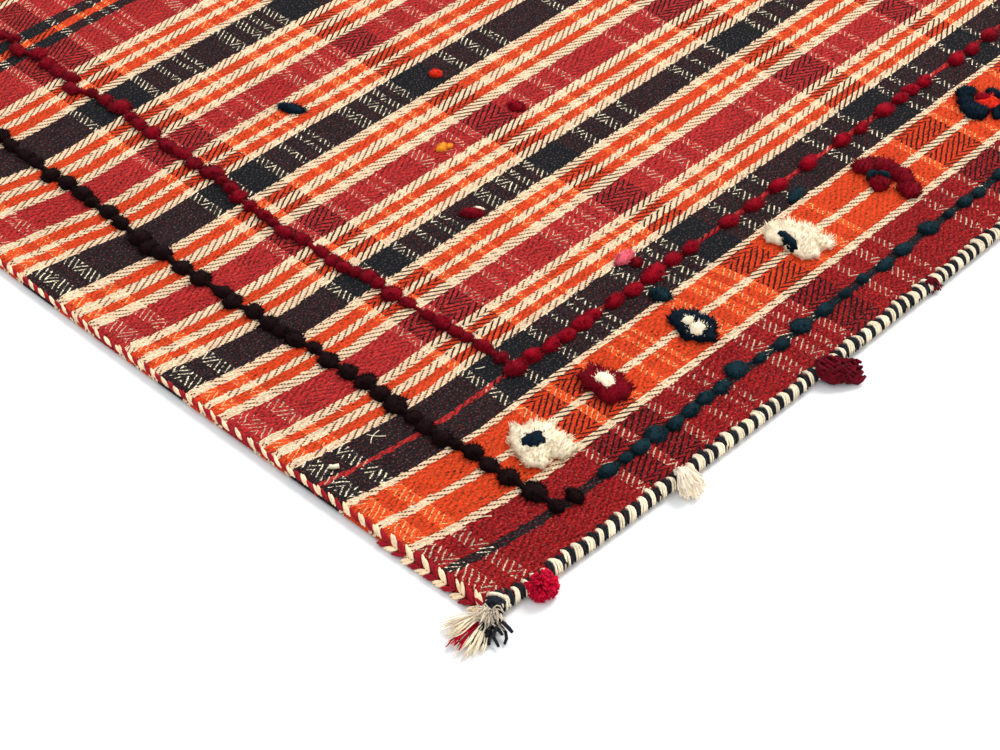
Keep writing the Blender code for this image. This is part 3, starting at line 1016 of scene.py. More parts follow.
def side_binding(side, dice):
    """The wraps along one long edge: side is -1 for the near one and 1 for the far one."""
    basket = Basket()
    heading = 0.0 if side > 0 else 180.0
    along = -BINDING_STOP
    turn = 0
    while along < BINDING_STOP:
        finish, fewest, greatest, space = BUNDLES[turn % 2]
        wraps = dice.randint(fewest, greatest)
        slant = WRAP_SLANT + dice.uniform(-0.20, 0.20)
        bundle_tone = dice.uniform(-0.12, 0.12)
        bundle_reach = dice.uniform(0.84, 1.10)
        for number in range(wraps):
            fan = (number - (wraps - 1) / 2) * -side * WRAP_FAN
            reach = bundle_reach * dice.uniform(0.95, 1.05)
            middle = side * (WIDTH / 2 - SIDE_BINDING_WIDTH * reach / 2)
            size = (dice.uniform(0.85, 1.15), reach, dice.uniform(0.86, 1.04))
            matrix = settle(along + number * space, middle, WRAP_HEIGHT / 2 - CLOTH_THICKNESS, heading,
                            size=size, slant=slant - fan)
            basket.add(moved(WRAP, matrix, bundle_tone + dice.uniform(-0.10, 0.10)), finish)
        along += wraps * space + BUNDLE_GAP + dice.uniform(0.0, 0.0005)
        turn += 1
    return basket


for side, name in ((-1, "near"), (1, "far")):
    edge = side_binding(side, random.Random(SEED + 40 + side))
    edge.piece(f"overcast_edge_{name}", [f"side_binding_{name}"], "black_and_cream_yarn")

# %% [markdown]
# ## The end binding
#
# The turned end is held by a line of crossed stitches along its outer face, cream against crimson.
# Near the corners each stitch is a pair of leaves that start from one point, one over the top of the
# roll and one down its outer side. Further in one slanting leaf is left of each, so that cream and red
# lie head to tail. A leaf is a flat bundle of two yarns, and a yarn is pulled out of a small disc, step
# by step.

# %% Model one leaf of yarn
LEAF_STEPS = (
    # along, up, wider
    (0.0006, 0.0001, 1.60), (0.0010, 0.0003, 1.45), (0.0012, 0.0003, 1.20), (0.0014, 0.0001, 1.02),
    (0.0013, -0.0002, 0.86), (0.0010, -0.0004, 0.70), (0.0006, -0.0004, 0.55),
)
leaf = yarn_bit(0.00052, 6, LEAF_STEPS)
print("one leaf:", len(leaf.data.polygons), "faces,", [round(n * 1000, 1) for n in leaf.dimensions], "mm")
LEAF = shape_of(leaf)

# %% [markdown]
# ## Stitching the short edges
#
# Near the corners the red and cream yarns lie in pairs that open like leaves. Further in, the stitches
# sink into the roll and only one slanting leaf of each shows. The same leaf is copied, turned and made
# smaller along the edge, which keeps the pieces light.

# %% Stitch both short edges
STITCH_PITCH = 0.0068
STITCH_FADE = 0.10
STITCH_SMALLEST = 0.82
PAIRED_LEAVES = 0.085
STITCH_RISE = 34.0
LEAF_YARNS = 2
YARN_SPACE = 0.0024
LEAF_ABOVE = 0.0004
ROLL_LEAN = -42.0
LEAVES = (
    # swing from the edge's line near the corner and further in, roll, size against the first
    (42.0, 22.0, 10.0, 1.0),
    (-34.0, -34.0, -10.0, 0.85),
)


def on_roll(end, across, turn_degrees, heading, turns, size):
    """The matrix of a stitch on the rolled end, at a turn up from its lowest line."""
    turn = math.radians(turn_degrees)
    inward = ROLL_RADIUS * (1.0 - math.cos(turn))
    height = ROLL_LOW + (ROLL_HEIGHT - ROLL_LOW) * math.sin(turn) - CLOTH_THICKNESS
    matrix = settle(end * (LENGTH / 2 - inward), across, height, heading, turns=turns, size=size)
    matrix[:, 3] += matrix[:, 2] / np.linalg.norm(matrix[:, 2]) * LEAF_ABOVE
    return matrix


def end_binding(end, dice):
    """The stitches along one short edge: end is -1 for the left one and 1 for the right one."""
    basket = Basket()
    stop = WIDTH / 2 - SIDE_BINDING_WIDTH * 0.6 - 0.004
    across = -stop
    turn = 0
    while across < stop:
        from_corner = WIDTH / 2 - abs(across)
        strength = STITCH_SMALLEST + (1.0 - STITCH_SMALLEST) * math.exp(-(from_corner / STITCH_FADE) ** 2)
        finish = ("chain_cream", "chain_red")[turn % 2]
        nearness = (strength - STITCH_SMALLEST) / (1.0 - STITCH_SMALLEST)
        for swing, swing_inside, roll, scale in LEAVES[:2 if from_corner < PAIRED_LEAVES else 1]:
            for yarn in range(LEAF_YARNS):
                shift = (yarn - 0.5) * YARN_SPACE * strength
                wide = strength * dice.uniform(0.70, 0.90)
                size = (scale * strength * dice.uniform(1.20, 1.42), wide, wide * 0.85)
                swung = swing_inside + (swing - swing_inside) * nearness + dice.uniform(-6, 6)
                turns = (("X", ROLL_LEAN + roll), ("Z", -swung))
                matrix = on_roll(end, across - shift * end, STITCH_RISE * strength, -90.0 * end, turns, size)
                basket.add(moved(LEAF, matrix, dice.uniform(-0.14, 0.14)), finish)
        across += STITCH_PITCH * strength * dice.uniform(0.92, 1.08)
        turn += 1
    return basket


for end, name in ((-1, "left"), (1, "right")):
    edge = end_binding(end, random.Random(SEED + 50 + end))
    edge.piece(f"stitched_edge_{name}", [f"end_binding_{name}"], "red_and_cream_yarn")

# %% [markdown]
# ## Tufts of cut pile
#
# Rows of tufts run across the flat weave. Each tuft is a lock of wool, knotted round the warps and
# cut short, so it stands as a soft lump with loose fibres all over. A lump is shaped from a coarse
# ball: its underside is cut off flat, and its top is pressed and roughened. A fibre is a thin
# three-sided cone. Lump and fibres together are modelled in five versions, and the rows repeat them.

# %% Model a fibre
FIBRE_CURL = 0.6


def one_fibre():
    """A fibre one unit thick and one unit long, standing on the origin and curling over."""
    fibre = start_shape(bpy.ops.mesh.primitive_cone_add, vertices=3, radius1=0.5, radius2=0.0, depth=1.0,
                        location=(0.0, 0.0, 0.5))
    bpy.ops.object.mode_set(mode="OBJECT")
    for vert in fibre.data.vertices:
        if vert.co.z > 0.5:
            vert.co.x += FIBRE_CURL
    return fibre


FIBRE = shape_of(one_fibre())


def fibre_at(spot, toward, length, thick, tone, twist):
    """A fibre from a spot, leaning the way that toward points."""
    pole = Vector(toward).normalized()
    basis = np.array(pole.to_track_quat("Z", "Y").to_matrix()) @ turn_about("Z", twist)
    return moved(FIBRE, np.column_stack([basis @ np.diag((thick, thick, length)), spot]), tone)


print("one fibre:", len(FIBRE[1]), "faces")

# %% Model the lumps
LUMP_CUT = -0.25
LUMP_ROUGHNESS = 0.17
LUMP_FLAT = 0.80
LUMP_FIBRES = 104
FIBRE_ROOTS = (0.86, 0.86, 0.72)
LUMP_VERSIONS = 5


def one_lump(dice):
    """A lump of pile one unit in radius and one unit high, on its flat underside."""
    lump = start_shape(bpy.ops.mesh.primitive_ico_sphere_add, subdivisions=2, radius=1.0)
    cut_flat(LUMP_CUT)
    bpy.ops.mesh.select_all(action="SELECT")
    bpy.ops.transform.translate(value=(0.0, 0.0, -LUMP_CUT))
    bpy.ops.transform.resize(value=(1.0, 1.0, 1.0 / (1.0 - LUMP_CUT)), center_override=(0.0, 0.0, 0.0))
    bpy.ops.object.mode_set(mode="OBJECT")
    for vert in lump.data.vertices:
        if vert.co.z > 0.05:
            vert.co *= 0.94 + dice.uniform(-LUMP_ROUGHNESS, LUMP_ROUGHNESS)
            vert.co.z = min(vert.co.z, LUMP_FLAT + 0.10 * vert.co.z)
    return lump


def furry_lump(dice):
    """A lump with fibres all over its upper side, longer and flatter towards the rim."""
    points, faces, _ = shape_of(one_lump(dice))
    # The lump's tone grows with its height: painted shade, darker low down by the cloth and paler on top.
    parts = [(points, faces, (points[:, 2] - 0.7) * 0.4)]
    for _ in range(LUMP_FIBRES):
        bearing = dice.uniform(0.0, 2 * math.pi)
        rise = math.asin(dice.uniform(0.0, 0.97))
        level = math.cos(rise)
        out = np.array([math.cos(bearing) * level, math.sin(bearing) * level, math.sin(rise)])
        spot = out * FIBRE_ROOTS
        toward = out + np.array([dice.uniform(-0.7, 0.7), dice.uniform(-0.7, 0.7), dice.uniform(-0.5, 0.4)])
        # A fibre's tone differs at random, and fibres higher on the lump are painted a little paler: painted
        # light on its top.
        tone = dice.uniform(-0.5, 0.34) + 0.12 * out[2]
        parts.append(fibre_at(spot, toward, dice.uniform(0.28, 0.56), dice.uniform(0.12, 0.22), tone,
                              dice.uniform(0, 360)))
    return joined(parts)


LUMPS = [furry_lump(random.Random(SEED + number)) for number in range(LUMP_VERSIONS)]
print("a lump with its fibres:", [len(lump[1]) for lump in LUMPS], "faces")

# %% [markdown]
# ## Rows of tufts
#
# Two rows follow each edge of the rug: wool drawn through the cloth in big loose stitches, so that it
# swells into a lump, dips, and swells again. No two lumps are alike. Each row has a chart, as an
# embroiderer would note it: where a lump sits, how long and broad it is and how far it strays from the
# line. A thin thread joins the lumps along the same line.

# %% Chart the lumps of each row
# A lump is its distance along the row, its length and breadth, and how far it lies off the line
# towards the rug's middle, in millimetres.
TEAL_LUMPS = rows("""
    127 15 9 0, 142 9 7 0, 155 15 10 0, 169 16 13 1, 184 14 9 -1, 198 14 10 0, 213 15 9 1,
    226 14 10 0, 245 16 14 4, 263 10 7 0, 282 14 9 -1, 303 15 13 1, 326 16 9 0, 347 9 6 0,
    366 10 7 1, 387 16 9 -1, 408 16 10 0, 437 16 12 1, 458 9 6 0, 477 14 9 0, 491 13 8 -1,
    518 15 10 0
""")
CRIMSON_LUMPS = rows("""
    155 16 10 0, 169 15 10 1, 184 17 10 0, 197 15 9 -1, 212 17 11 0, 222 13 9 1, 242 17 10 0,
    258 16 10 -1, 278 22 13 0, 298 16 10 1, 314 16 9 0, 353 17 11 0, 377 18 10 -1, 404 17 10 0,
    438 18 11 1, 474 17 10 0, 494 15 9 -1, 522 18 11 0, 541 15 9 0, 554 15 10 1, 569 16 10 0,
    609 18 11 0, 627 16 10 -1
""")
BROWN_LUMPS = rows("""
    37 10 10 2, 55 17 15 2, 73 14 13 0, 88 13 12 0, 102 14 12 1, 113 8 8 -1, 123 13 13 -3,
    137 13 12 -3, 148 12 11 -2, 163 15 15 -2, 177 14 12 -1, 191 12 15 0, 205 14 12 -1, 221 14 13 -2,
    236 12 9 0, 251 17 12 -3, 262 12 10 -4, 273 13 13 -4, 288 14 12 -3, 305 12 14 -6, 316 16 10 -4,
    337 14 14 -5, 354 15 12 -6, 375 15 13 -6, 385 13 14 -8, 397 16 14 -6, 418 15 10 -5
""")
END_LUMPS = rows("""
    136 12 17 2, 149 10 10 3, 164 16 9 3, 177 8 9 2, 185 12 9 1, 197 14 11 1, 208 13 7 0, 226 12 9 0,
    240 14 15 -1, 253 9 10 0, 263 13 12 1, 272 9 10 -2, 281 11 11 -4, 291 11 11 -4, 302 14 9 -3,
    321 13 10 -3, 335 17 10 -6, 347 12 7 -5, 357 14 9 -4, 371 9 11 -4, 384 11 13 -3, 395 14 10 0,
    405 10 9 1, 417 20 15 2, 433 14 12 0, 447 18 12 2, 461 18 11 0, 480 14 13 2, 494 16 10 2,
    505 10 10 3, 520 18 16 5, 533 14 11 3
""")
ROWS = (
    # name, whether it runs along the rug, inset, pitch of the later lumps, height, radius of the thread
    # under them, wool, lumps
    ("teal_tufts", True, 0.0372, 0.0235, 0.0050, 0.0007, "teal_wool", TEAL_LUMPS),
    ("crimson_side_tufts", True, 0.1355, 0.0235, 0.0062, 0.0004, "crimson_wool", CRIMSON_LUMPS),
    ("brown_tufts", False, 0.0835, 0.0150, 0.0066, 0.0022, "brown_wool", BROWN_LUMPS),
    ("crimson_end_tufts", False, 0.1520, 0.0132, 0.0058, 0.0018, "dark_crimson_wool", END_LUMPS),
)
print("lumps charted by hand:", [len(row[-1]) for row in ROWS])

# %% Set the rows of tufts
LUMP_SINK = 0.0003
THREAD_STEP = 0.005


def row_lumps(chart, pitch, stop, dice):
    """The charted lumps of a row in metres, then more of the same kind as far as the stop."""
    lumps = [[part / 1000 for part in lump] for lump in chart]
    likely = lumps[len(lumps) // 2:]
    here = lumps[-1][0] + pitch
    while here <= stop:
        _, length, width, off = dice.choice(likely)
        lumps.append((here, length, width, off))
        here += pitch * dice.uniform(0.75, 1.25)
    return lumps


def lump_on_rug(basket, finish, along, across, heading, size, dice, swing=14.0):
    """Set one lump down, turned a little. size is its length, breadth and height in metres."""
    matrix = settle(along, across, -LUMP_SINK, heading + dice.uniform(-swing, swing),
                    turns=(("X", dice.uniform(-6, 6)),), size=(size[0] / 2, size[1] / 2, size[2]))
    basket.add(moved(dice.choice(LUMPS), matrix, dice.uniform(-0.12, 0.12)), finish)


def row_thread(basket, finish, spots, radius, dice):
    """The thread under a row, from lump to lump, pressed into the cloth."""
    path = []
    radii = []
    for along, across in spots:
        x, y = place(along, across)
        path.append((x, y, top(x, y) + radius * dice.uniform(0.05, 0.35)))
        radii.append(radius * dice.uniform(0.75, 1.2))
    basket.add_strand(path, radii, 6, finish)


def row_of_tufts(name, along_rug, line, inward, lumps, height, thread, finish, dice):
    """One row's piece. line is where it runs, and inward says which way the rug's middle lies."""
    def spot(here, off):
        if along_rug:
            return here - LENGTH / 2, line + inward * off
        return line + inward * off, here - WIDTH / 2

    basket = Basket()
    steps = np.arange(lumps[0][0], lumps[-1][0], THREAD_STEP)
    offs = np.interp(steps, [lump[0] for lump in lumps], [lump[3] for lump in lumps])
    line_of_spots = [spot(step, off + dice.uniform(-0.0008, 0.0008)) for step, off in zip(steps, offs)]
    row_thread(basket, finish, line_of_spots, thread, dice)
    for here, length, width, off in lumps:
        along, across = spot(here, off)
        size = (length, width, height * dice.uniform(0.75, 1.0))
        lump_on_rug(basket, finish, along, across, 0.0 if along_rug else 90.0, size, dice)
    basket.piece(f"{name}_pile", [name], finish.replace("dark_", ""))


for number, (name, along_rug, inset, pitch, height, thread, finish, chart) in enumerate(ROWS):
    size, breadth = (LENGTH, WIDTH) if along_rug else (WIDTH, LENGTH)
    ends = ("near", "far") if along_rug else ("left", "right")
    for side, end in zip((-1, 1), ends):
        dice = random.Random(SEED + 600 + 10 * number + side)
        lumps = row_lumps(chart, pitch, size - chart[0][0] / 1000, dice)
        row_of_tufts(f"{name}_{end}", along_rug, side * (breadth / 2 - inset), -side, lumps, height, thread,
                     finish, dice)

# %% [markdown]
# ## Single tufts
#
# Here and there the weaver knotted in one tuft alone, in whatever wool was left over.

# %% Set the single tufts
SCATTERED_TUFTS = (
    # the lumps of each tuft: along from the left end, inset from the near side, turn, wool,
    # (length, breadth, height)
    ((0.2780, 0.1595, 0.0, "pink_wool", (0.0175, 0.0100, 0.0050)),
     (0.2802, 0.1510, 0.0, "dark_crimson_wool", (0.0095, 0.0085, 0.0042))),
    ((0.2665, 0.1190, 30.0, "teal_wool", (0.0120, 0.0150, 0.0052)),),
    ((0.4050, 0.1215, 8.0, "teal_wool", (0.0190, 0.0080, 0.0034)),),
    ((0.2435, 0.2615, -42.0, "dark_crimson_wool", (0.0165, 0.0095, 0.0044)),
     (0.2503, 0.2621, -60.0, "cream_wool", (0.0085, 0.0026, 0.0022))),
    ((0.2800, 0.3260, 12.0, "yellow_wool", (0.0110, 0.0080, 0.0030)),
     (0.2848, 0.3238, 0.0, "yellow_wool", (0.0060, 0.0045, 0.0024))),
    ((0.3490, 0.3220, 20.0, "crimson_wool", (0.0110, 0.0140, 0.0046)),),
    ((0.3370, 0.3900, 0.0, "scarlet_wool", (0.0095, 0.0095, 0.0040)),),
    ((0.2390, 0.4320, 32.0, "navy_wool", (0.0105, 0.0215, 0.0044)),),
    ((0.0985, 0.0360, 6.0, "brown_wool", (0.0090, 0.0140, 0.0060)),),
)
SCATTERED_SWING = 8.0

dice = random.Random(SEED + 900)
for number, lumps in enumerate(SCATTERED_TUFTS):
    tuft = Basket()
    for along, inset, turn, finish, size in lumps:
        lump_on_rug(tuft, finish, along - LENGTH / 2, inset - WIDTH / 2, turn, size, dice, SCATTERED_SWING)
    name = f"scattered_tuft_{number + 1:02d}"
    tuft.piece(f"{name}_pile", [name], lumps[0][3].replace("dark_", ""))

# %% [markdown]
# ## Medallions
#
# Along both sides stand small medallions of longer pile in cream, crimson and navy. The pile is
# knotted in and then trimmed with scissors to a flower, a square, a leaf or an arch. Each one is
# built here as a few mounds that touch. A mound is the upper part of a ball, pulled out to its
# outline, and hundreds of fibres lean outwards from it.

# %% Six kinds of medallion, as tables of mounds
KINDS = (
    # base half length and half breadth, then the mounds, in millimetres:
    # wool, form, x along the rug, y across it inwards, half x, half y, turn in degrees, height
    ((18.0, 20.0), rows("""
        cream flower 0.4 1 16.6 16.6 10 6.6
        cream round 6 -12 9 9.6 20 5.8
        cream round -9.6 -8 8.6 8.8 0 5.8
        navy square -2 0.6 8.2 6.8 -12 9
    """)),
    ((12.0, 18.3), rows("""
        dark_crimson square 0 0 11.4 17.6 3 6.4
        cream square 0.2 1 5.4 8.2 -6 8.4
    """)),
    ((12.0, 19.5), rows("""
        navy leaf 0 0 12.4 19.5 0 6.2
        cream round -1.6 3.8 4.8 4 0 8.4
        cream round -3.2 -4.6 6.2 5.6 0 8.6
    """)),
    ((16.0, 22.5), rows("""
        cream round -3.4 10 11 11.6 10 6.2
        cream round 1.6 -0.4 14 17.6 0 6.6
        cream round -4.6 -12.6 9.6 8.6 0 5.8
        cream round 8.6 -15 6.6 7.4 14 5.6
        navy square -7.8 0.6 3.4 11.4 -15 9
    """)),
    ((16.5, 26.0), rows("""
        dark_crimson round -1.2 18.6 9.4 7.6 -20 6.2
        dark_crimson round 7.8 9 7.6 11.4 24 6.8
        dark_crimson round 7.4 -5 7.4 10.6 -10 6.6
        dark_crimson round -0.6 -17.8 8 8.2 -30 6
        dark_crimson round -9 0.4 8 6.8 10 5.8
        teal square -7.2 8.6 4.6 2.4 -20 8.4
        teal square -2 2 2.2 5.4 14 8.4
    """)),
    ((20.0, 20.0), rows("""
        navy round 1.4 13.2 8.4 6.4 0 6.4
        navy round -7.6 7 6 7 -30 6.2
        navy round -12 -3.4 8.4 10.2 10 6.8
        navy round 14.2 -1 4.4 6.4 0 6
        navy round 0 -15.6 9 4.8 8 6
        scarlet square 1.6 -4 8.6 9.8 24 5.8
        crimson round 2.6 0.6 6.4 4.6 -34 7.4
    """)),
)
# Along from the left end, inset from the side, length along the rug and breadth across it.
MEDALLIONS = rows("""
    115.6 81.5 36 40, 180.5 87.5 24 36.5, 257.6 84.6 24 39, 368.6 93 32 45,
    461.7 88 33 52, 577 93 40 40, 680 83 36 39, 793 87 24 36,
    906 88 24 38, 1024 90 32 44, 1146 87 32 50, 1269 90 38 39
""")
print("mounds on the six kinds:", [len(mounds) for _, mounds in KINDS])

# %% Model one mound of pile
SPOKES = 20
RINGS = 5
FIBRE_DENSITY = 0.62
RAGGEDNESS = 0.075
RAGGED_LOBES = (3, 5, 9)
LEAF_TIP = 1.25
SQUARE_POWER = 3.2
FLOWER_LOBES = 8
FLOWER_DEPTH = 0.09


def outline(form, bearing, half_x, half_y):
    """How far a mound reaches at a bearing."""
    x = abs(math.cos(bearing))
    y = abs(math.sin(bearing))
    if form == "flower":
        return (1.0 + FLOWER_DEPTH * math.cos(FLOWER_LOBES * bearing)) / math.hypot(x / half_x, y / half_y)
    if form == "square":
        return ((x / half_x) ** SQUARE_POWER + (y / half_y) ** SQUARE_POWER) ** (-1.0 / SQUARE_POWER)
    if form == "round":
        return 1.0 / math.hypot(x / half_x, y / half_y)
    low, high = 0.0, half_x + half_y
    for _ in range(18):
        reach = (low + high) / 2
        if (reach * x / half_x) ** LEAF_TIP + (reach * y / half_y) ** 2 < 1.0:
            low = reach
        else:
            high = reach
    return low


def cap():
    """The upper part of a ball, one unit in radius and height, on a flat underside."""
    ball = start_shape(bpy.ops.mesh.primitive_uv_sphere_add, segments=SPOKES, ring_count=2 * RINGS,
                       radius=1.0)
    cut_flat(0.0)
    bpy.ops.object.mode_set(mode="OBJECT")
    return ball


CAP_POINTS, CAP_FACES, CAP_TONES = shape_of(cap())


def reach_at(form, bearing, half_x, half_y, rim):
    """How far a mound with a ragged rim reaches at a bearing."""
    return outline(form, bearing, half_x, half_y) * rim(bearing)


def ragged(dice):
    """A slow wave round the rim, so that no two medallions are trimmed alike."""
    waves = [(lobes, dice.uniform(0, 2 * math.pi)) for lobes in RAGGED_LOBES]
    return lambda bearing: 1.0 + RAGGEDNESS * sum(math.sin(lobes * bearing + start) for lobes, start in waves)


def mound(form, half_x, half_y, height, fibre_length, dice, covered=()):
    """A mound with its fibres, in metres, about its own middle.

    covered lists the circles (x, y, radius) that another mound stands on, where no fibre is set.
    """
    rim = ragged(dice)
    fibre_length = min(fibre_length, half_x * 0.7)
    points = CAP_POINTS.copy()
    for point in points:
        bearing = math.atan2(point[1], point[0])
        reach = reach_at(form, bearing, half_x, half_y, rim) * 0.94
        point[:2] *= reach * (1.0 + dice.uniform(-0.04, 0.04))
        point[2] = height * point[2] ** 0.45 * 0.86 if point[2] > 0.01 else 0.0
    parts = [(points, CAP_FACES, CAP_TONES)]
    for _ in range(round(FIBRE_DENSITY * math.pi * half_x * half_y * 1e6)):
        bearing = dice.uniform(0, 2 * math.pi)
        share = math.sqrt(dice.uniform(0.0, 1.0))
        reach = reach_at(form, bearing, half_x, half_y, rim) * share * 0.96
        lean = 0.2 + 0.9 * share ** 3
        toward = (math.cos(bearing) * lean + dice.uniform(-0.35, 0.35),
                  math.sin(bearing) * lean + dice.uniform(-0.35, 0.35), 1.0)
        level = height * ((1.0 - share * share) ** 0.225 * 0.86 - 0.28)
        spot = (math.cos(bearing) * reach, math.sin(bearing) * reach, max(0.0, level))
        if any(math.hypot(spot[0] - x, spot[1] - y) < radius for x, y, radius in covered):
            continue
        parts.append(fibre_at(spot, toward, fibre_length * dice.uniform(0.75, 1.2),
                              dice.uniform(0.0009, 0.0016), dice.uniform(-0.34, 0.30), dice.uniform(0, 360)))
    return joined(parts)


# %% [markdown]
# ## Placing the medallions
#
# The medallions sit in the broad orange band beside each long edge. The six kinds follow one another in
# the same order on both sides. Each is built of its mounds and then covered with short fibres, and
# every one gets fibres of its own so that no two look the same.

# %% Set the medallions
CREAM_FIBRE = 0.0042
DARK_FIBRE = 0.0036


def circles_under(other, x, y, turn):
    """Three circles along a mound's length, in metres, as the mound at x and y with that turn sees them."""
    _, _, other_x, other_y, half_x, half_y, other_turn, _ = other
    lying = half_x > half_y
    radius = min(half_x, half_y)
    stretch = max(half_x, half_y) - radius
    ahead = math.radians(other_turn + (0.0 if lying else 90.0))
    back = math.radians(-turn)
    circles = []
    for share in (-1.0, 0.0, 1.0):
        aside = other_x - x + share * stretch * math.cos(ahead)
        beyond = other_y - y + share * stretch * math.sin(ahead)
        circles.append(((aside * math.cos(back) - beyond * math.sin(back)) / 1000,
                        (aside * math.sin(back) + beyond * math.cos(back)) / 1000, radius * 0.92 / 1000))
    return circles


def medallion(number, side, dice):
    """One medallion's pile, set down on the rug."""
    along, inset, length, breadth = MEDALLIONS[number]
    base, mounds = KINDS[number % len(KINDS)]
    wider = (length / 2 / base[0], breadth / 2 / base[1])
    across = side * (WIDTH / 2 - inset / 1000)
    heading = 0.0 if side < 0 else 180.0
    basket = Basket()
    for above, (wool_name, form, x, y, half_x, half_y, turn, height) in enumerate(mounds, 1):
        covered = [circle for other in mounds[above:] if other[0] != wool_name
                   for circle in circles_under(other, x, y, turn)]
        pile = mound(form, half_x * wider[0] / 1000, half_y * wider[1] / 1000, height / 1000,
                     CREAM_FIBRE if wool_name == "cream" else DARK_FIBRE, dice, covered)
        own_along = along / 1000 - LENGTH / 2 - side * x * wider[0] / 1000
        own_across = across - side * y * wider[1] / 1000
        matrix = settle(own_along, own_across, -LUMP_SINK, heading, turns=(("Z", turn),))
        basket.add(moved(pile, matrix), f"{wool_name}_wool")
    return basket, mounds[0][0].replace("dark_", "")


for side, side_name in ((-1, "near"), (1, "far")):
    dice = random.Random(SEED + 70 + side)
    for number in range(len(MEDALLIONS)):
        pile, rim_wool = medallion(number, side, dice)
        name = f"medallion_{side_name}_{number + 1:02d}"
        pile.piece(f"{name}_pile", [name], f"{rim_wool}_wool")

# %% [markdown]
# ## Tassels on the side edges
#
# Small tassels are sewn on top of the side binding. Their strands fan out from one knot and lie over
# the edge down to the floor. Each strand is a bit of yarn along its own path: it leaves the knot
# upwards, bends over and ends bluntly, as scissors leave it.

# %% A helper that fans strands out of one knot
STRAND_STEPS = 5
ROOT_SPREAD = (0.0011, 0.0011, 0.0005)
BUNDLE_STEPS = 12
KNOT_STEPS = 16


def fan(basket, finish, root, heading, spread, reach, strands, radius, height, low, dice, sides=5,
        blunt=0.9, curl=0.0016, short=0.82):
    """Strands from a root to the floor. heading and spread are degrees in plan, the rest is metres."""
    for _ in range(strands):
        bearing = math.radians(heading + spread * dice.uniform(-1, 1))
        layer = dice.uniform(0.0, 1.0)
        length = reach * dice.uniform(short, 1.05) * (1.0 - 0.22 * layer ** 2)
        start = np.array(root) + [dice.gauss(0, wide) for wide in ROOT_SPREAD]
        wobble = dice.uniform(-curl, curl)
        phase = dice.uniform(0, math.pi)
        end_height = low + (height - low) * layer * 0.80
        path = []
        for step in range(STRAND_STEPS + 1):
            share = step / STRAND_STEPS
            out = length * share
            side = wobble * (math.sin(math.pi * share + phase) - math.sin(phase))
            bow = height * 0.55 * math.sin(math.pi * min(1.0, share * 1.15)) * (0.35 + 0.65 * layer)
            path.append((*go(start, bearing, out, side),
                         start[2] * (1 - share) + end_height * share + bow * (1 - share * 0.6)))
        thick = radius * dice.uniform(0.8, 1.2)
        radii = [thick * (0.75 + 0.30 * step / STRAND_STEPS) for step in range(STRAND_STEPS)]
        # Each strand is painted darker at its root, where the strands crowd in shade, and paler towards its
        # tip.
        basket.add_strand(path, radii + [thick * blunt], sides, finish, dice.uniform(-0.30, 0.30),
                          np.linspace(-0.12, 0.12, STRAND_STEPS + 1))


def dome(basket, finish, root, heading, reach, strands, radius, height, low, dice):
    """A round cut head: the strands end all over a ball that sits just off the edge."""
    bearing = math.radians(heading)
    middle = np.array((*go(root, bearing, reach * 0.42, 0.0), height * 0.42))
    for _ in range(strands):
        turn = bearing + math.pi * dice.uniform(-0.80, 0.80)
        rise = dice.uniform(-0.55, 1.0)
        far = reach * 0.56 * dice.uniform(0.80, 1.16)
        tip = np.array((*go(middle, turn, far * math.sqrt(1 - rise * rise), 0.0),
                        max(low, middle[2] + far * rise * 0.85)))
        path = [np.array(root) * (1 - share) ** 2 + middle * 2 * share * (1 - share) + tip * share ** 2
                for share in (0.0, 0.35, 0.7, 1.0)]
        thick = radius * dice.uniform(0.8, 1.2)
        # Each strand is painted darker at its root, inside the head where shade falls, and paler at its tip
        # on the outside.
        basket.add_strand(path, [thick * 0.8, thick * 0.9, thick, thick * 1.05], 5, finish,
                          dice.uniform(-0.25, 0.25), (-0.30, -0.20, -0.05, 0.15))


def bundle(basket, finish, root, heading, reach, strands, radius, height, low, dice):
    """A plump bundle of curly yarns, nearly as thick at its root as at its end."""
    bearing = math.radians(heading)
    for _ in range(strands):
        turn = dice.uniform(0, 2 * math.pi)
        out_of_middle = math.sqrt(dice.uniform(0.05, 1.0))
        lane = out_of_middle * math.cos(turn)
        layer = out_of_middle * math.sin(turn)
        length = reach * dice.uniform(0.80, 1.06)
        cycles = dice.uniform(1.1, 2.3) * dice.choice((-1, 1))
        phase = dice.uniform(0, 2 * math.pi)
        path = []
        for step in range(BUNDLE_STEPS + 1):
            share = step / BUNDLE_STEPS
            breadth = height * (0.36 + 0.40 * math.sin(math.pi * min(1.0, 0.10 + share * 0.80)))
            fall = math.cos(0.5 * math.pi * min(1.0, share * 1.3))
            wave = 2 * math.pi * cycles * share + phase
            side = lane * breadth + radius * 2.1 * math.sin(wave)
            high = height * 0.36 + root[2] * 0.30 * fall + layer * breadth * 0.62
            high += radius * 1.7 * math.cos(wave)
            path.append((*go(root, bearing, length * share, side), max(low, high)))
        thick = radius * dice.uniform(0.85, 1.2)
        basket.add_strand(path, [thick] * BUNDLE_STEPS + [thick * 0.85], 5, finish, dice.uniform(-0.5, 0.4))


def knot(basket, finish, middle, heading, radii, thick, tilt, dice, turns=1.0):
    """A yarn wound round an axis that points along heading: radii are sideways and upwards."""
    path = []
    steps = round(KNOT_STEPS * turns)
    for step in range(steps + 1):
        turn = 2 * math.pi * turns * step / steps
        ahead = tilt * math.sin(turn) + thick * 1.7 * (turns - 1.0) * (step / steps - 0.5)
        path.append((*go(middle, math.radians(heading), ahead, radii[0] * math.cos(turn)),
                     middle[2] + radii[1] * math.sin(turn)))
    basket.add_strand(path, thick, 7, finish, dice.uniform(-0.1, 0.1))


print("steps along a strand:", STRAND_STEPS)

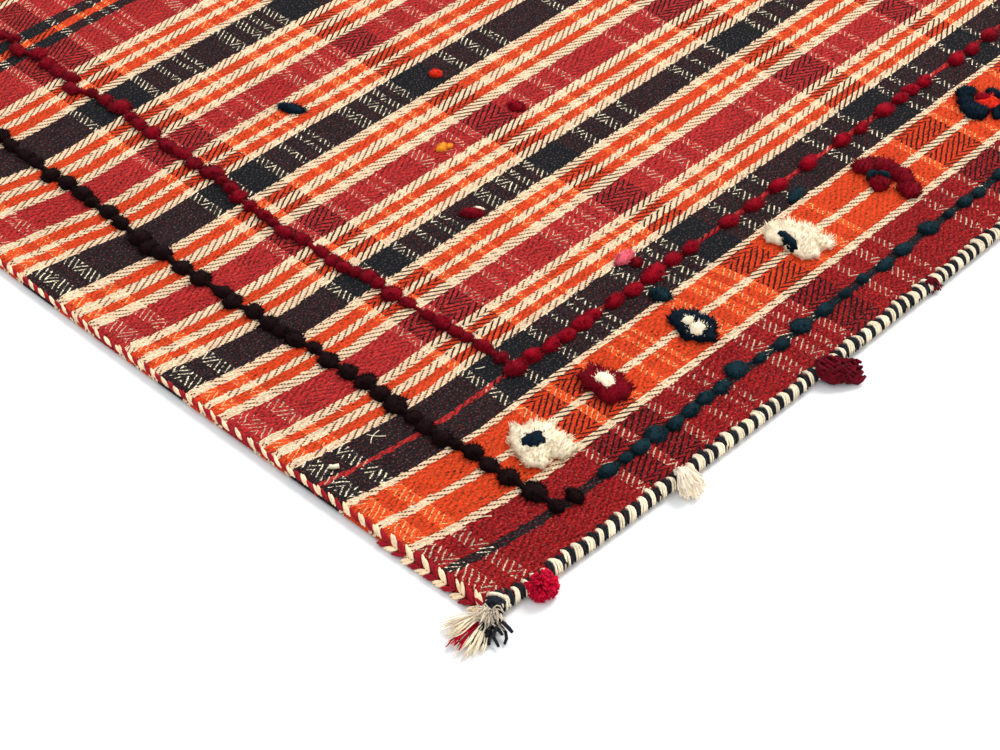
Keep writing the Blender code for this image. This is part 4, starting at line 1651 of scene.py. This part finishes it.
# %% Fan out the side tassels
# The forms: how one is made, then (spread,) reach, strands, radius and height, and how blunt a brush is.
BRUSH = (fan, (31.0, 0.0172, 150, 0.00075, 0.0115), {"blunt": 0.85})
STUB = (fan, (60.0, 0.0075, 40, 0.0006, 0.0050), {"blunt": 0.7})
DOME = (dome, (0.0158, 260, 0.00078, 0.0125), {})
BUNDLE = (bundle, (0.0275, 66, 0.00116, 0.0106), {})
SIDE_TASSELS = (
    # name, along from the left end, lean, form, wool, the wool's slot
    ("near_1", 0.036, -8.0, DOME, "bright_crimson_wool", "crimson_wool"),
    ("near_2", 0.152, -14.0, BRUSH, "tassel_cream", "cream_wool"),
    ("near_3", 0.277, 45.0, BUNDLE, "maroon_wool", "maroon_wool"),
    ("near_4", 0.392, 0.0, STUB, "maroon_wool", "maroon_wool"),
    ("near_5", 0.760, 0.0, BRUSH, "tassel_cream", "cream_wool"),
    ("near_6", 1.180, 0.0, DOME, "bright_crimson_wool", "crimson_wool"),
    ("far_1", 0.270, 0.0, DOME, "bright_crimson_wool", "crimson_wool"),
    ("far_2", 0.690, 0.0, BRUSH, "tassel_cream", "cream_wool"),
    ("far_3", 1.168, 28.0, BUNDLE, "maroon_wool", "maroon_wool"),
)
TASSEL_LOW = 0.0012
TASSEL_ROOT = 0.0008
KNOT_RADII = (0.0024, 0.0018)
KNOT_THICK = 0.0008
KNOT_TILT = 0.0004

for number, (name, along, lean, (make, form, ends), wool_name, slot) in enumerate(SIDE_TASSELS):
    side = 1 if "far" in name else -1
    dice = random.Random(SEED + 1000 + number)
    x, y = place(along - LENGTH / 2, side * (WIDTH / 2 - SIDE_BINDING_WIDTH * 0.55))
    heading = side * 90.0 - side * lean
    tassel = Basket()
    make(tassel, wool_name, (x, y, WRAP_HEIGHT + TASSEL_ROOT), heading, *form, TASSEL_LOW, dice, **ends)
    knot(tassel, wool_name, (x, y, WRAP_HEIGHT), heading, KNOT_RADII, KNOT_THICK, KNOT_TILT, dice, 2.0)
    tassel.piece(f"side_tassel_{name}_yarn", [f"side_tassel_{name}"], slot)

# %% [markdown]
# ## Tassels at the corners
#
# At each corner the binding yarns run out together. They are wrapped with thick dark yarn, and their
# ends are left as a mixed tassel on the floor: a curly dark lock, wisps of cream and a lock of red. A
# collar of teased wool hides where they leave the wrapping.

# %% Wind and fan out the corner tassels
CORNER_LOCKS = (
    # finish, turn from the warp's line, spread, reach, strands, radius, height, curl, blunt
    ("cream_wool", -20.0, 13.0, 0.0270, 64, 0.00048, 0.0085, 0.0022, 0.4),
    ("bright_crimson_wool", -3.0, 6.0, 0.0300, 20, 0.00078, 0.0070, 0.0026, 0.4),
    ("binding_black", 2.0, 7.0, 0.0195, 8, 0.00085, 0.0070, 0.0026, 0.6),
    ("cream_wool", 12.0, 13.0, 0.0290, 50, 0.00046, 0.0065, 0.0028, 0.3),
    ("binding_black", 44.0, 14.0, 0.0175, 20, 0.00105, 0.0080, 0.0060, 0.8),
    ("collar_wool", 30.0, 70.0, 0.0105, 190, 0.00044, 0.0160, 0.0030, 0.3),
)
CORNER_AXIS = 26.0
CORNER_WRAPS = (
    # finish, ahead, radius sideways, radius upwards, thickness, tilt
    ("binding_cream", -0.0062, 0.0044, 0.0034, 0.0013, 0.0012),
    ("binding_black", -0.0030, 0.0043, 0.0036, 0.0019, 0.0020),
    ("binding_cream", 0.0000, 0.0044, 0.0037, 0.0012, -0.0016),
    ("binding_black", 0.0030, 0.0042, 0.0036, 0.0019, -0.0024),
    ("binding_black", 0.0060, 0.0037, 0.0031, 0.0017, 0.0012),
)
CORNER_CORE = (
    # ahead, radius
    (-0.009, 0.0034), (-0.005, 0.0040), (0.0, 0.0042), (0.004, 0.0040), (0.008, 0.0034), (0.011, 0.0022),
)
RED_YARN = (
    # towards the rug's middle, outwards, upwards
    (0.020, 0.0020, -0.0018), (0.014, 0.0030, 0.0002), (0.008, 0.0042, 0.0012), (0.003, 0.0052, 0.0010),
    (-0.001, 0.0062, -0.0010),
)
RED_YARN_RADIUS = 0.0013
CORNER_INSET = 0.0065
CORNER_HEIGHT = 0.0050
CORNER_ROOT = 0.0080
CORNER_LOW = 0.0010
CORNER_SHORT = 0.65


def corner_tassel(end, side, dice):
    """The wrapped yarns at a corner: end is -1 for the left one, and side is -1 for the near one."""
    tassel = Basket()
    x, y = place(end * (LENGTH / 2 - CORNER_INSET), side * (WIDTH / 2 - CORNER_INSET))

    def heading(degrees):
        turn = math.radians(degrees)
        return math.degrees(math.atan2(side * math.sin(turn), end * math.cos(turn)))

    axis = heading(CORNER_AXIS)
    ahead = np.array([math.cos(math.radians(axis)), math.sin(math.radians(axis)), 0.0])
    middle = np.array([x, y, CORNER_HEIGHT])
    core = [middle + ahead * distance for distance, _ in CORNER_CORE]
    tassel.add_strand(core, [radius for _, radius in CORNER_CORE], 8, "binding_black")
    for finish, forward, sideways, upwards, thick, tilt in CORNER_WRAPS:
        knot(tassel, finish, middle + ahead * forward, axis, (sideways, upwards), thick, tilt, dice)
    red_yarn = [middle + np.array([end * bulge, -side * inward, high]) for inward, bulge, high in RED_YARN]
    tassel.add_strand(red_yarn, RED_YARN_RADIUS, 6, "chain_red")
    root = middle + ahead * CORNER_ROOT
    for finish, turn, spread, reach, strands, radius, height, curl, blunt in CORNER_LOCKS:
        fan(tassel, finish, root, heading(turn), spread, reach, strands, radius, height, CORNER_LOW, dice, 4,
            blunt, curl, CORNER_SHORT)
    return tassel


for number, (end, side) in enumerate(((-1, -1), (1, -1), (1, 1), (-1, 1))):
    tassel = corner_tassel(end, side, random.Random(SEED + 1100 + number))
    name = f"corner_tassel_{number + 1}"
    tassel.piece(f"{name}_yarn", [name], "corner_yarns")

# %% [markdown]
# ## Stray ends
#
# Where a new weft was begun its end was left lying on the cloth, and one thick slub shows near the
# turned end. Each is a short strand with a slight bend. They are laid on loosely, as they are on any
# hand-woven piece, because without them the cloth looks made by machine.

# %% Lay the stray ends
# Along from the left end, in from the near side, heading, length, radius, in millimetres and degrees.
STRAY_ENDS = rows("""
    55 152 24 12 0.28, 56.5 152.5 -52 11 0.26, 52 60 -34 8 0.30,
    140 152 -28 6 0.26, 57 185 96 7 0.26, 21 149 -40 5.5 1.50
""")
STRAY_STEPS = 5

STRAY_LIFT = 1.3

strays = Basket()
dice = random.Random(SEED + 850)
for along, inset, heading, length, radius in STRAY_ENDS:
    bend = dice.uniform(-0.14, 0.14) * length
    path = []
    for step in range(STRAY_STEPS + 1):
        share = step / STRAY_STEPS
        off = bend * math.sin(math.pi * share)
        spot = go((along, inset), math.radians(heading), (share - 0.5) * length, off)
        x, y = place(spot[0] / 1000 - LENGTH / 2, spot[1] / 1000 - WIDTH / 2)
        path.append((x, y, top(x, y) + radius / 1000 * STRAY_LIFT))
    strays.add_strand(path, [radius / 1000 * dice.uniform(0.8, 1.1) for _ in path], 5, "cream_wool")
strays.piece("stray_ends", [], "cream_wool")

# %% [markdown]
# ## Floor and light
#
# The rug lies on a plain pale floor. One broad soft lamp stands low enough to show the roundness of the
# yarns, and a bright even sky fills the shadows, as in a shop's white studio.

# %% The floor and the light
bpy.ops.object.select_all(action="DESELECT")
bpy.ops.mesh.primitive_plane_add(size=30.0, location=(0.0, 0.0, 0.0))
floor = bpy.context.object
floor.name = "floor"
paper, _, shader = new_material("pale_floor")
plug(shader, {"Base Color": (0.92, 0.92, 0.92, 1.0), "Roughness": 0.9, "Specular IOR Level": 0.1})
floor.data.materials.append(paper)

world = bpy.data.worlds.new("studio")
world.use_nodes = True
plug(world.node_tree.nodes["Background"], {"Color": (0.94, 0.97, 1.0, 1.0), "Strength": 0.95})
bpy.context.scene.world = world

LAMP_PLACE = (3.0, 0.1, 3.4)
lamp = bpy.data.lights.new("key_light", "AREA")
lamp.shape = "SQUARE"
lamp.size = 2.0
lamp.energy = 190.0
lamp.color = (1.0, 0.98, 0.95)
key_light = linked("key_light", lamp)
key_light.location = LAMP_PLACE
key_light.rotation_euler = (-Vector(LAMP_PLACE)).to_track_quat("-Z", "Y").to_euler()
bpy.context.scene.view_settings.view_transform = "Standard"
bpy.context.scene.view_settings.look = "None"
